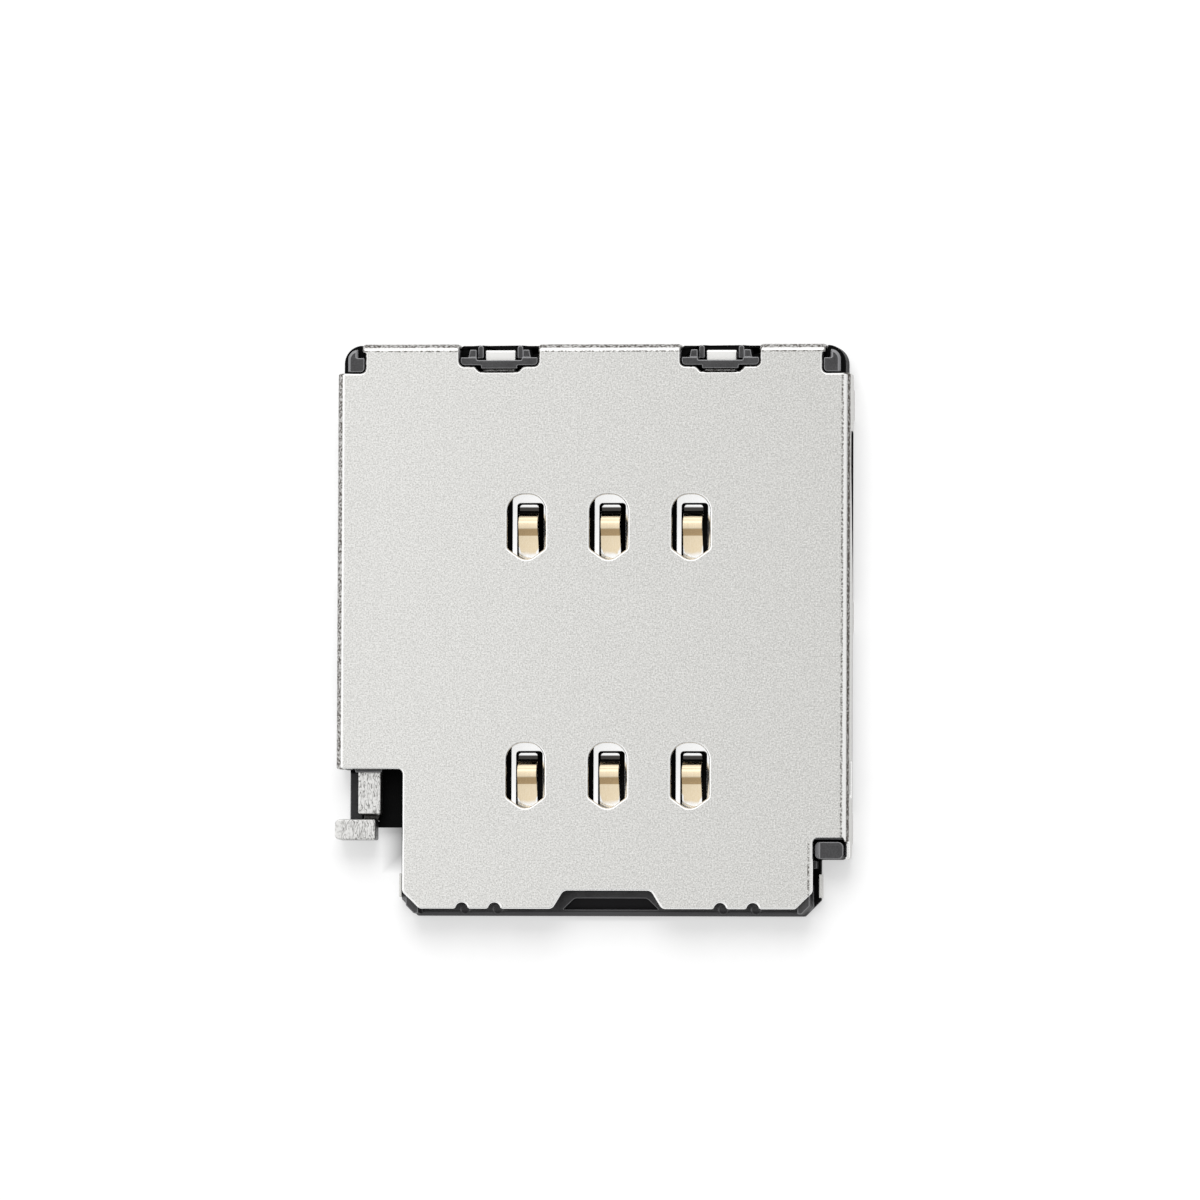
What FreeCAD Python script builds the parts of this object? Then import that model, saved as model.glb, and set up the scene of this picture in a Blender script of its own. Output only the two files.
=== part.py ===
import FreeCAD
import Part
import math
import os

# Card reader for a phone: a folded steel cover over a moulded housing with six spring contacts,
# a push rod and a lever that eject the tray, a tray latch and a tray switch.
# Millimetres. The origin is the middle of the contact field, on the board face (z = 0).
# The tray enters from -Y and travels towards +Y. The cover faces +Z.

# Contact field of the card
CONTACT_PITCH = 2.54
CONTACT_ROW_SPACING = 7.62

# Stack from the board upwards
FLOOR = 0.35
TRAY_HEIGHT = 0.90
SHEET = 0.15

# Clearances
SEAT_GAP = 0.02
SLIDE_GAP = 0.06
REVEAL = 0.04

# Widths across the reader, from the tray outwards
TRAY_WIDTH = 11.70
MOUTH_RAIL = 0.38
PLATE_OVERHANG = 0.10
FLOOR_LEDGE = 0.25
ROD_RAIL = 1.14
ROD_WIDTH = 0.70
LEFT_WALL = 0.42
SPRING_POCKET = 0.70
RIGHT_WALL = 0.33

# Lengths along the reader, measured from the contact field's middle
CHANNEL_REAR = 8.98
REAR_WALL = 0.28
FRONT_LIP = 8.09
LIP_REVEAL = 0.20
REAR_REVEAL = 0.03
LEFT_NOTCH = 3.62
ROD_BAY = 1.765
BAY_INSET = 0.15
RIGHT_NOTCH = 5.71
END_BLOCK = 0.52
END_BLOCK_GAP = 0.12

# Cover details
FOLD_INSIDE = 0.10
WALL_BOTTOM = 0.30
MOUTH_CHAMFER = 0.52
NOTCH_RADIUS = 0.16
WINDOW_WIDTH = 1.18
WINDOW_LENGTH = 2.00
WINDOW_END_RADIUS = 0.52
WINDOW_SHOULDER = 0.34
WINDOW_SHOULDER_RADIUS = 0.15
WINDOW_TIP = 0.08
WINDOW_TIP_RADIUS = 0.39
CORNER_NOTCH_WIDTH = 0.86
CORNER_NOTCH_DEPTH = 0.90
FOLD_TIP = 0.09
THUMB_CUT_WIDTH = 3.38
THUMB_CUT_DEPTH = 0.56
THUMB_CUT_TAPER = 0.35
THUMB_CUT_RADIUS = 0.20
PIP_RADIUS = 0.15
PIP_INNER = 3.48
PIP_PITCH = 1.01
END_WALL_DROP = 0.35
END_WALL_RADIUS = 0.30
FOOT_WIDTH = 1.00
FOOT_INSET = 0.45
FEET_PER_SIDE = 3

# Hook lugs of the cover and the latch blocks that they pass under
LATCH_X = 3.415
LATCH_WIDTH = 2.46
LATCH_DEPTH = 0.69
LATCH_DROP = 0.16
LATCH_DROP_WIDTH = 1.50
LATCH_DROP_TAPER = 0.15
LUG_WIDTH = 0.97
LUG_STEP = 0.45
LUG_LENGTH = 0.68
LUG_BEND_INSIDE = 0.025
LUG_LAP = 0.50
LATCH_BAR = 0.26
LATCH_EAR = 0.24
LATCH_RIB = 0.17
LATCH_POST_GAP = 0.075
PRONG_WIDTH = 0.20
PRONG_FLARE = 0.06
LATCH_CREST = 0.10

# Snap barbs on the housing's sides, in windows of the cover's walls
BARB_LENGTH = 1.00
BARB_REACH = 0.13
BARB_BOTTOM = 0.55
BARB_DROP = 0.28
BARB_LIP = 0.08
BARB_REAR_INSET = 2.37
LEFT_BARB_INSET = 3.02
RIGHT_BARB_INSET = 2.45

# Housing details
CORNER_RADIUS = 0.70
EDGE_CHAMFER = 0.12
FLOOR_CHAMFER = 0.50
LIP_CHAMFER = 0.10
PAD_RISE = 0.05
PAD_INSET = 0.14
PAD_ROOT = 0.10
PAD_CHAMFER = 0.06
PAD_SLOT_WIDTH = 0.20
PAD_SLOT_DEPTH = 0.26
PIP_RISE = 0.06
THUMB_POCKET_INSET = 0.22
THUMB_POCKET_DEPTH = 0.22
BRIDGE_LENGTH = 0.45
BRIDGE_REACH = 0.10
END_RIB_WIDTH = 0.08
END_RIB_LENGTH = 0.25
END_RIB_DROP = 0.50
END_BLOCK_SLOPE = 0.16
END_BLOCK_FALL = 0.14
RAIL_SETBACK = 0.05

# Contacts
CONTACT_SHEET = 0.10
RING_WIDTH = 1.12
RING_LEG = 0.16
RING_REAR = 1.07
RING_BAR = 0.30
RING_FRONT = 2.30
RING_TURN = 0.24
RING_INNER_TURN = 0.10
TONGUE_GAP = 0.055
TONGUE_TAPER = 0.045
TONGUE_REACH = 0.72
TONGUE_ROOT_BEND = 0.40
TONGUE_TIP_DROP = 0.38
TONGUE_TIP_BEND = 0.12
TONGUE_TIP_RADIUS = 0.10
CROWN_RISE = 0.67
CROWN_RADIUS = 0.24
CROWN_SPAN = 0.36
CROWN_SHIFT = 0.13
CROWN_POINT = 0.06
CROWN_FRONT_DROP = 0.14
CROWN_REAR_DROP = 0.36
FOOT_LENGTH = 0.50
SOLDER_FOOT_WIDTH = 0.50
FOOT_STEP = 0.20
CONTACT_BEND_INSIDE = 0.05

# Eject rod and lever
ROD_BOTTOM_GAP = 0.04
ROD_TOP_ROOM = 0.26
ROD_EDGE = 0.06
ROD_END_RADIUS = 0.16
ROD_TRAVEL = 1.30
HEAD_WIDTH = 1.26
HEAD_LENGTH = 0.63
HEAD_DROP = 0.25
HEAD_OUT = 0.05
HEAD_CLEAR = 0.135
NECK_LENGTH = 0.155
NECK_WIDTH = 0.42
NECK_DROP = 0.33
LEVER_REAR_ROOM = 0.20
LEVER_LUG_ROOM = 0.83
LEVER_SHORT_ARM = 2.40
LEVER_LONG_ARM = 4.40
LEVER_LIFT = 5.0
LEVER_BOTTOM_GAP = 0.10
LEVER_TOP_ROOM = 0.35
LEVER_HUB_RADIUS = 0.80
LEVER_NOSE_RADIUS = 0.38
LEVER_NOSE_NECK = 0.22
LEVER_SHORT_ROOT = 0.30
LEVER_LONG_ROOT = 0.42
LEVER_TIP_RADIUS = 0.28
BOSS_RADIUS = 0.45
BOSS_GAP = 0.03
BOSS_LEDGE = 0.15
BOSS_CROWN = 0.12
NOSE_GAP = 0.03

# Tray latch and tray switch springs, standing on edge in the pocket beside the tray
SPRING_SHEET = 0.10
SPRING_LIFT = 0.06
SPRING_TOP_ROOM = 0.20
SPRING_BEND = 0.25
SPRING_HEEL_BEND = 0.50
SPRING_TOE_BEND = 0.125
SPRING_TAIL = 0.50
SPRING_GRIP = 0.85
SPRING_STRAIGHT = 1.80
SPRING_SLOPE = 1.85
SPRING_END_ROOM = 0.85
LATCH_SETBACK = 0.51
SWITCH_SETBACK = 6.38
NOSE_REACH = 0.25
NOSE_RETURN = 0.68
NOSE_TAIL = 0.45
RAIL_GAP = 0.32
TERMINAL_LAP = 0.70
TERMINAL_GRIP = 0.40
TERMINAL_SPACE = 0.05

# Solder tabs at the mouth's sides
HOLD_DOWN_SHEET = 0.08
HOLD_DOWN_INSET = 0.04
HOLD_DOWN_LENGTH = 0.72
HOLD_DOWN_SETBACK = 0.07
HOLD_DOWN_RISE = 0.23
HOLD_DOWN_ROOT = 0.30
HOLD_DOWN_ROOT_LENGTH = 0.40

# Levels
HEIGHT = FLOOR + TRAY_HEIGHT + SHEET
PLATE_BOTTOM = HEIGHT - SHEET
PLATE_MIDDLE = HEIGHT - SHEET / 2
ROOT_LEVEL = FLOOR / 2
WALL_TOP = PLATE_BOTTOM - SEAT_GAP
CREST = HEIGHT - LATCH_CREST
PAD_TOP = HEIGHT - PAD_RISE
LUG_TOP = HEIGHT - LUG_STEP
LUG_BOTTOM = LUG_TOP - SHEET
LOW_WALL_TOP = LUG_BOTTOM - SHEET
ROD_BOTTOM = FLOOR + ROD_BOTTOM_GAP
ROD_TOP = PLATE_BOTTOM - ROD_TOP_ROOM
BRIDGE_BOTTOM = ROD_TOP + SLIDE_GAP
LEVER_BOTTOM = FLOOR + LEVER_BOTTOM_GAP
LEVER_TOP = PLATE_BOTTOM - LEVER_TOP_ROOM
PAD_BOTTOM = LEVER_TOP + SLIDE_GAP
SPRING_BOTTOM = FLOOR + SPRING_LIFT
SPRING_TOP = PLATE_BOTTOM - SPRING_TOP_ROOM
BARB_TOP = WALL_TOP - BARB_DROP
FOLD_RADIUS = FOLD_INSIDE + SHEET

# Places across the reader
TRAY_SIDE = TRAY_WIDTH / 2
RAIL_SIDE = TRAY_SIDE + MOUTH_RAIL
MOUTH_SIDE = RAIL_SIDE + PLATE_OVERHANG
FLOOR_SIDE = RAIL_SIDE + FLOOR_LEDGE
ROD_SLOT_RIGHT = TRAY_SIDE + ROD_RAIL
ROD_SLOT_LEFT = ROD_SLOT_RIGHT + ROD_WIDTH + 2 * SLIDE_GAP
ROD_X = -(ROD_SLOT_RIGHT + ROD_SLOT_LEFT) / 2
HOUSE_LEFT = ROD_SLOT_LEFT + LEFT_WALL
COVER_LEFT = HOUSE_LEFT + SEAT_GAP + SHEET
POCKET_SIDE = RAIL_SIDE + SPRING_POCKET
HOUSE_RIGHT = POCKET_SIDE + RIGHT_WALL
COVER_RIGHT = HOUSE_RIGHT + SEAT_GAP + SHEET
SPRING_X = (RAIL_SIDE + POCKET_SIDE) / 2

# Places along the reader
HOUSE_REAR = CHANNEL_REAR + REAR_WALL
COVER_REAR = HOUSE_REAR + SEAT_GAP + SHEET
POST_REAR = COVER_REAR - REAR_REVEAL
COVER_FRONT = FRONT_LIP - LIP_REVEAL
BAY_FRONT = LEFT_NOTCH + ROD_BAY
BAY_LEFT = HOUSE_LEFT - BAY_INSET
BLOCK_REAR = RIGHT_NOTCH + END_BLOCK_GAP
BLOCK_FRONT = BLOCK_REAR + END_BLOCK
LATCH_SHOULDER = COVER_REAR - LATCH_DEPTH
LATCH_FLOOR = LATCH_SHOULDER - LATCH_DROP
CORNER_FRONT = COVER_REAR - CORNER_NOTCH_DEPTH
CORNER_LEFT = COVER_LEFT - CORNER_NOTCH_WIDTH
CORNER_RIGHT = COVER_RIGHT - CORNER_NOTCH_WIDTH
BAR_FRONT = LATCH_FLOOR + SHEET / 2 + SEAT_GAP
BAR_REAR = BAR_FRONT + LATCH_BAR
HEAD_START = LEFT_NOTCH + BRIDGE_REACH + ROD_TRAVEL + HEAD_CLEAR
NOSE_SWEEP = ROD_TRAVEL / 2 + LEVER_NOSE_RADIUS
PIVOT_X = ROD_X + LEVER_SHORT_ARM
PIVOT_Y = min(CHANNEL_REAR - NOSE_SWEEP - LEVER_REAR_ROOM, LATCH_FLOOR - LEVER_LUG_ROOM)
NOSE_Y = PIVOT_Y - ROD_TRAVEL / 2
ROD_REAR = NOSE_Y - LEVER_NOSE_RADIUS - NOSE_GAP
LEVER_BAY_FRONT = NOSE_Y - LEVER_HUB_RADIUS
NOSE_CIRCLE = math.hypot(LEVER_SHORT_ARM, ROD_TRAVEL / 2)
LEVER_BAY_LEFT = NOSE_CIRCLE + LEVER_NOSE_RADIUS + SLIDE_GAP - PIVOT_X
LATCH_ROOT = LATCH_SETBACK - RIGHT_NOTCH
SWITCH_ROOT = CHANNEL_REAR - SWITCH_SETBACK
SPRING_NOSE = SPRING_STRAIGHT + SPRING_SLOPE
SPRING_TOE = SPRING_NOSE + NOSE_RETURN
SPRING_LENGTH = SPRING_TOE + NOSE_TAIL
POCKET_LENGTH = SPRING_LENGTH + SPRING_END_ROOM
HOLD_DOWN_Y = FLOOR_CHAMFER + HOLD_DOWN_SETBACK + HOLD_DOWN_LENGTH / 2 - FRONT_LIP
LEFT_BARBS = (CORNER_FRONT - BARB_REAR_INSET, LEFT_BARB_INSET - LEFT_NOTCH)
RIGHT_BARBS = (CORNER_FRONT - BARB_REAR_INSET, RIGHT_BARB_INSET - BLOCK_FRONT)

# Turns about Z that bring a piece made for the rear side to the other sides
REAR_SIDE = 0
LEFT_SIDE = 90
RIGHT_SIDE = -90

FAR = 20.0
TINY = 1e-6


def vector(x, y, z=0.0):
    return FreeCAD.Vector(x, y, z)


def block(x0, x1, y0, y1, z0, z1):
    """Box between two corners."""
    return Part.makeBox(x1 - x0, y1 - y0, z1 - z0, vector(x0, y0, z0))


def disc(x, y, radius, z0, z1):
    """Upright cylinder."""
    return Part.makeCylinder(radius, z1 - z0, vector(x, y, z0))


def corner_turn(before, here, after, radius):
    """Start, middle and end of the arc that turns a corner, or the corner alone where it is sharp."""
    if radius < TINY:
        return [here]
    back = (before - here).normalize()
    ahead = (after - here).normalize()
    half = back.getAngle(ahead) / 2
    reach = radius / math.tan(half)
    inward = (back + ahead).normalize()
    middle = here + inward * (radius / math.sin(half) - radius)
    return [here + back * reach, middle, here + ahead * reach]


def outline(corners):
    """Closed wire through corners (x, y, radius), with each corner turned on its own radius."""
    points = [vector(x, y) for x, y, radius in corners]
    count = len(corners)
    turns = []
    for i in range(count):
        turns.append(corner_turn(points[i - 1], points[i], points[(i + 1) % count], corners[i][2]))
    edges = []
    for i in range(count):
        turn = turns[i]
        leave = turn[-1]
        arrive = turns[(i + 1) % count][0]
        if len(turn) == 3:
            edges.append(Part.Arc(*turn).toShape())
        if leave.distanceToPoint(arrive) > TINY:
            edges.append(Part.LineSegment(leave, arrive).toShape())
    return Part.Wire(edges)


def prism(corners, z0, z1):
    """Upright prism over an outline with rounded corners."""
    face = Part.Face(outline(corners))
    face.translate(vector(0, 0, z0))
    return face.extrude(vector(0, 0, z1 - z0))


def side_prism(corners, start, end, side=REAR_SIDE):
    """Prism over an outline in (outward, up), run along a side of the reader.

    It is made for the rear side, from x = start to x = end, and turned about Z to the side asked for.
    """
    solid = Part.Face(outline(corners)).extrude(vector(0, 0, end - start))
    solid.rotate(vector(0, 0), vector(1, 1, 1), 120)
    solid.translate(vector(start, 0))
    solid.rotate(vector(0, 0), vector(0, 0, 1), side)
    return solid


def along(side, low, high):
    """Start and end that a span of y, or of x on the rear side, takes in side_prism."""
    return (-high, -low) if side == RIGHT_SIDE else (low, high)


def strip_outline(path, thickness):
    """Outline of a bent sheet: a path (u, v, bend radius) along its middle, made as thick as the sheet."""
    count = len(path)
    points = [vector(u, v) for u, v, radius in path]
    legs = [(points[i + 1] - points[i]).normalize() for i in range(count - 1)]
    sides = {1: [], -1: []}
    for i in range(count):
        back = legs[max(i - 1, 0)]
        ahead = legs[min(i, count - 2)]
        turn = back.cross(ahead).z
        normal = vector(-back.y, back.x) + vector(-ahead.y, ahead.x)
        stretch = 1 / (1 + back.dot(ahead))
        for hand in sides:
            shift = hand * thickness / 2
            point = points[i] + normal * (shift * stretch)
            radius = path[i][2] - math.copysign(shift, shift * turn) if path[i][2] else 0
            sides[hand].append((point.x, point.y, radius))
    return sides[1] + sides[-1][::-1]


def flat_strip(path, thickness, z0, z1):
    """Bent sheet standing on edge, its path drawn in plan."""
    return prism(strip_outline(path, thickness), z0, z1)


def side_strip(path, thickness, start, end, side=REAR_SIDE):
    """Bent sheet whose path is drawn in (outward, up) of a side of the reader."""
    return side_prism(strip_outline(path, thickness), start, end, side)


def join(shapes):
    """One clean solid from shapes that touch or overlap."""
    return shapes[0].fuse(shapes[1:]).removeSplitter()


def contact_places():
    """Name and crown position of each contact, rear row first."""
    rear = CONTACT_ROW_SPACING / 2
    columns = (-CONTACT_PITCH, 0.0, CONTACT_PITCH)
    places = [("contact_c%d" % (i + 1), x, rear) for i, x in enumerate(columns)]
    return places + [("contact_c%d" % (i + 5), x, -rear) for i, x in enumerate(columns)]


def make_fold(side, outer, low, high):
    """Folded edge of the cover: a strip of plate, the bend and the wall under it."""
    lap = FOLD_RADIUS + SHEET
    path = [
        (outer - lap, PLATE_MIDDLE, 0),
        (outer - SHEET / 2, PLATE_MIDDLE, FOLD_RADIUS - SHEET / 2),
        (outer - SHEET / 2, WALL_BOTTOM, 0),
    ]
    return side_strip(path, SHEET, *along(side, low, high), side)


def make_feet(side, outer, low, high):
    """Solder feet that take a folded wall down to the board, spaced evenly between the wall's ends."""
    inner = outer - SHEET
    top = WALL_BOTTOM + SHEET
    corners = [(inner, 0, 0), (outer, 0, 0), (outer, top, 0), (inner, top, 0)]
    first = low + FOOT_INSET
    step = (high - FOOT_INSET - FOOT_WIDTH - first) / (FEET_PER_SIDE - 1)
    starts = [first + i * step for i in range(FEET_PER_SIDE)]
    return [side_prism(corners, *along(side, start, start + FOOT_WIDTH), side) for start in starts]


def latch_notch(x):
    """Stepped notch of the cover's rear edge over a latch block."""
    wide = LATCH_WIDTH / 2
    drop = LATCH_DROP_WIDTH / 2
    floor = drop - LATCH_DROP_TAPER
    rear = COVER_REAR + SHEET
    return prism(
        [
            (x - wide, rear, 0),
            (x - wide, LATCH_SHOULDER, NOTCH_RADIUS),
            (x - drop, LATCH_SHOULDER, 0),
            (x - floor, LATCH_FLOOR, NOTCH_RADIUS / 2),
            (x + floor, LATCH_FLOOR, NOTCH_RADIUS / 2),
            (x + drop, LATCH_SHOULDER, 0),
            (x + wide, LATCH_SHOULDER, NOTCH_RADIUS),
            (x + wide, rear, 0),
        ],
        LOW_WALL_TOP,
        HEIGHT + SHEET,
    )


def make_lug(x):
    """Hook lug: a tongue of the cover stepped down so that it passes under a latch bar."""
    middle = LUG_TOP - SHEET / 2
    bend = LUG_BEND_INSIDE + SHEET / 2
    path = [
        (LATCH_FLOOR - LUG_LAP, PLATE_MIDDLE, 0),
        (LATCH_FLOOR, PLATE_MIDDLE, bend),
        (LATCH_FLOOR, middle, bend),
        (LATCH_FLOOR + LUG_LENGTH, middle, 0),
    ]
    return side_strip(path, SHEET, x - LUG_WIDTH / 2, x + LUG_WIDTH / 2)


def cover_plate():
    """Flat top of the cover, up to where its edges start to fold."""
    left = COVER_LEFT - FOLD_RADIUS
    right = COVER_RIGHT - FOLD_RADIUS
    rear = COVER_REAR - FOLD_RADIUS
    cut = MOUTH_CHAMFER
    return prism(
        [
            (-left, rear, 0),
            (right, rear, 0),
            (right, -RIGHT_NOTCH, 0),
            (MOUTH_SIDE, -RIGHT_NOTCH, NOTCH_RADIUS),
            (MOUTH_SIDE, -COVER_FRONT + cut, 0),
            (MOUTH_SIDE - cut, -COVER_FRONT, 0),
            *thumb_outline(0.0, THUMB_CUT_RADIUS),
            (-MOUTH_SIDE + cut, -COVER_FRONT, 0),
            (-MOUTH_SIDE, -COVER_FRONT + cut, 0),
            (-MOUTH_SIDE, -LEFT_NOTCH, NOTCH_RADIUS),
            (-left, -LEFT_NOTCH, 0),
        ],
        PLATE_BOTTOM,
        HEIGHT,
    )


def contact_window(x, y):
    """Window of the cover over a contact: round at the rear, bluntly pointed towards the mouth."""
    side = WINDOW_WIDTH / 2
    end = WINDOW_LENGTH / 2
    turn = WINDOW_END_RADIUS
    shoulder = y - end + WINDOW_SHOULDER
    slant = WINDOW_SHOULDER_RADIUS
    corners = [(x - side, shoulder, slant), (x, y - end - WINDOW_TIP, WINDOW_TIP_RADIUS)]
    corners += [(x + side, shoulder, slant), (x + side, y + end, turn), (x - side, y + end, turn)]
    return prism(corners, PLATE_BOTTOM - SHEET, HEIGHT + SHEET)


def thumb_outline(inset, foot):
    """Tapered cut-out in the middle of the mouth's edge, set inwards, its feet turned on a radius."""
    wide = THUMB_CUT_WIDTH / 2 - inset
    narrow = wide - THUMB_CUT_TAPER
    top = -COVER_FRONT + THUMB_CUT_DEPTH - inset
    turn = THUMB_CUT_RADIUS
    right = [(wide, -COVER_FRONT, foot), (narrow, top, turn)]
    return right + [(-narrow, top, turn), (-wide, -COVER_FRONT, foot)]


def pip_places():
    """Places across the mouth of the pips that the tray glides on."""
    inner = [PIP_INNER, PIP_INNER + PIP_PITCH]
    return [-x for x in inner] + inner


def barb_window(side, outer, centre):
    """Window of a folded wall that a snap barb sits in."""
    half = BARB_LENGTH / 2 + REVEAL
    low = BARB_BOTTOM - REVEAL
    high = BARB_TOP + REVEAL
    inner = outer - 2 * SHEET
    out = outer + SHEET
    corners = [(inner, low, 0), (out, low, 0), (out, high, 0), (inner, high, 0)]
    return side_prism(corners, *along(side, centre - half, centre + half), side)


def end_wall_cut():
    """Cut from the front end of the right wall: its top beside the end block, and its lower corner."""
    inner = COVER_RIGHT - 2 * SHEET
    outer = COVER_RIGHT + SHEET
    low = -BLOCK_FRONT
    bottom = WALL_BOTTOM
    reach = END_WALL_RADIUS + REVEAL
    corner = [(low, bottom, END_WALL_RADIUS), (low, bottom + reach, 0), (low - SHEET, bottom + reach, 0)]
    corner += [(low - SHEET, bottom - SHEET, 0), (low + reach, bottom - SHEET, 0), (low + reach, bottom, 0)]
    top = block(inner, outer, low - SHEET, -BLOCK_REAR, HEIGHT - END_WALL_DROP, HEIGHT + SHEET)
    return join([top, side_prism(corner, inner, outer)])


def make_cover():
    """Folded cover: plate, three folded sides, hook lugs and solder feet."""
    half_latch = LATCH_WIDTH / 2
    rear_spans = [
        (-CORNER_LEFT - FOLD_TIP, -LATCH_X - half_latch),
        (-LATCH_X + half_latch, LATCH_X - half_latch),
        (LATCH_X + half_latch, CORNER_RIGHT + FOLD_TIP),
    ]
    inside = COVER_REAR - SHEET
    pieces = [cover_plate()]
    pieces.append(make_fold(LEFT_SIDE, COVER_LEFT, -LEFT_NOTCH, CORNER_FRONT))
    pieces.append(make_fold(RIGHT_SIDE, COVER_RIGHT, -BLOCK_FRONT, CORNER_FRONT))
    pieces += [make_fold(REAR_SIDE, COVER_REAR, low, high) for low, high in rear_spans]
    pieces.append(block(-CORNER_LEFT, CORNER_RIGHT, inside, COVER_REAR, WALL_BOTTOM, LOW_WALL_TOP))
    pieces += make_feet(LEFT_SIDE, COVER_LEFT, -LEFT_NOTCH, CORNER_FRONT)
    pieces += make_feet(RIGHT_SIDE, COVER_RIGHT, -BLOCK_FRONT, CORNER_FRONT)
    pieces += make_feet(REAR_SIDE, COVER_REAR, -CORNER_LEFT, CORNER_RIGHT)
    cover = join(pieces)

    above = HEIGHT + SHEET
    under = PLATE_BOTTOM - SHEET
    cuts = [contact_window(x, y) for name, x, y in contact_places()]
    cuts += [latch_notch(x) for x in (-LATCH_X, LATCH_X)]
    cuts += [disc(x, -COVER_FRONT, PIP_RADIUS + REVEAL, under, above) for x in pip_places()]
    rear = COVER_REAR + SHEET
    fold = COVER_REAR - FOLD_RADIUS
    for edge, inner in ((-COVER_LEFT, -CORNER_LEFT), (COVER_RIGHT, CORNER_RIGHT)):
        out = edge + math.copysign(SHEET, edge)
        tip = inner + math.copysign(FOLD_TIP, edge)
        notch = [(out, CORNER_FRONT, 0), (inner, CORNER_FRONT, NOTCH_RADIUS)]
        notch += [(inner, fold, 0), (tip, fold, 0), (tip, rear, 0), (out, rear, 0)]
        cuts.append(prism(notch, -SHEET, above))
    clear = MOUTH_SIDE + NOTCH_RADIUS
    cuts.append(block(clear, COVER_RIGHT - SHEET, -FAR, -RIGHT_NOTCH, under, above))
    cuts.append(end_wall_cut())
    cuts += [barb_window(LEFT_SIDE, COVER_LEFT, y) for y in LEFT_BARBS]
    cuts += [barb_window(RIGHT_SIDE, COVER_RIGHT, y) for y in RIGHT_BARBS]
    cover = cover.cut(cuts)
    return join([cover] + [make_lug(x) for x in (-LATCH_X, LATCH_X)])


def make_contact(x, y):
    """Spring contact: a flat ring frame in the floor, a tongue bent up from it and a solder foot."""
    half = RING_WIDTH / 2
    inside = half - RING_LEG
    ring_bottom = FLOOR - CONTACT_SHEET
    middle = FLOOR - CONTACT_SHEET / 2
    foot_middle = CONTACT_SHEET / 2
    root = -RING_FRONT + RING_BAR
    slot_rear = RING_REAR - RING_BAR
    ring_plan = [(-half, -RING_FRONT, 0), (half, -RING_FRONT, 0)]
    ring_plan += [(half, RING_REAR, RING_TURN), (-half, RING_REAR, RING_TURN)]
    slot_plan = [(-inside, root, 0), (inside, root, 0)]
    slot_plan += [(inside, slot_rear, RING_INNER_TURN), (-inside, slot_rear, RING_INNER_TURN)]
    ring = prism(ring_plan, ring_bottom, FLOOR)
    slot = prism(slot_plan, 0, HEIGHT)

    crown = FLOOR + CROWN_RISE - CONTACT_SHEET / 2
    bend = CONTACT_BEND_INSIDE + CONTACT_SHEET / 2
    tongue_path = [
        (-RING_FRONT, middle, 0),
        (root, middle, TONGUE_ROOT_BEND),
        (CROWN_SHIFT - CROWN_SPAN, crown - CROWN_FRONT_DROP, bend),
        (CROWN_SHIFT, crown + CROWN_POINT, CROWN_RADIUS),
        (CROWN_SHIFT + CROWN_SPAN, crown - CROWN_REAR_DROP, TONGUE_TIP_BEND),
        (TONGUE_REACH, crown - TONGUE_TIP_DROP, 0),
    ]
    tongue = side_strip(tongue_path, CONTACT_SHEET, -half, half)
    wide = inside - TONGUE_GAP
    narrow = wide - TONGUE_TAPER
    tongue_plan = prism(
        [
            (-wide, -RING_FRONT, 0),
            (wide, -RING_FRONT, 0),
            (narrow, 0, 0),
            (narrow, TONGUE_REACH, TONGUE_TIP_RADIUS),
            (-narrow, TONGUE_REACH, TONGUE_TIP_RADIUS),
            (-narrow, 0, 0),
        ],
        0,
        HEIGHT,
    )
    step = -RING_FRONT - FOOT_STEP
    foot_path = [
        (root, middle, 0),
        (step, middle, bend),
        (step, foot_middle, bend),
        (step - FOOT_LENGTH, foot_middle, 0),
    ]
    foot = side_strip(foot_path, CONTACT_SHEET, -SOLDER_FOOT_WIDTH / 2, SOLDER_FOOT_WIDTH / 2)
    contact = join([ring.cut(slot), tongue.common(tongue_plan), foot])
    contact.translate(vector(x, y))
    return contact


def contact_well(x, y):
    """Opening of the floor under a tongue, as wide as the ring's inside, that the tongue bends into."""
    inside = RING_WIDTH / 2 - RING_LEG
    front = y - RING_FRONT + RING_BAR
    return block(x - inside, x + inside, front, y + RING_REAR - RING_BAR, -FLOOR, FLOOR)


def make_rod():
    """Push rod: a straight bar beside the tray with a wide head at its front end."""
    half = ROD_WIDTH / 2
    left = ROD_X - half
    right = ROD_X + half
    head_left = -COVER_LEFT - HEAD_OUT
    head_front = -HEAD_START - HEAD_LENGTH
    shaft_front = -HEAD_START + NECK_LENGTH
    soft = ROD_EDGE
    end = ROD_END_RADIUS
    shaft = prism(
        [
            (left, shaft_front, soft),
            (right, shaft_front, soft),
            (right, ROD_REAR, end),
            (left, ROD_REAR, end),
        ],
        ROD_BOTTOM,
        ROD_TOP,
    )
    neck_low = ROD_BOTTOM + soft
    neck_high = ROD_TOP - NECK_DROP
    neck_left = ROD_X - NECK_WIDTH / 2
    neck_right = neck_left + NECK_WIDTH
    neck = block(neck_left, neck_right, head_front + soft, shaft_front + soft, neck_low, neck_high)
    head_right = head_left + HEAD_WIDTH
    head = prism(
        [
            (head_left, head_front, end),
            (head_right, head_front, soft),
            (head_right, -HEAD_START, soft),
            (head_left, -HEAD_START, end),
        ],
        ROD_BOTTOM,
        HEIGHT - HEAD_DROP,
    )
    return join([shaft, neck, head])


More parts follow.
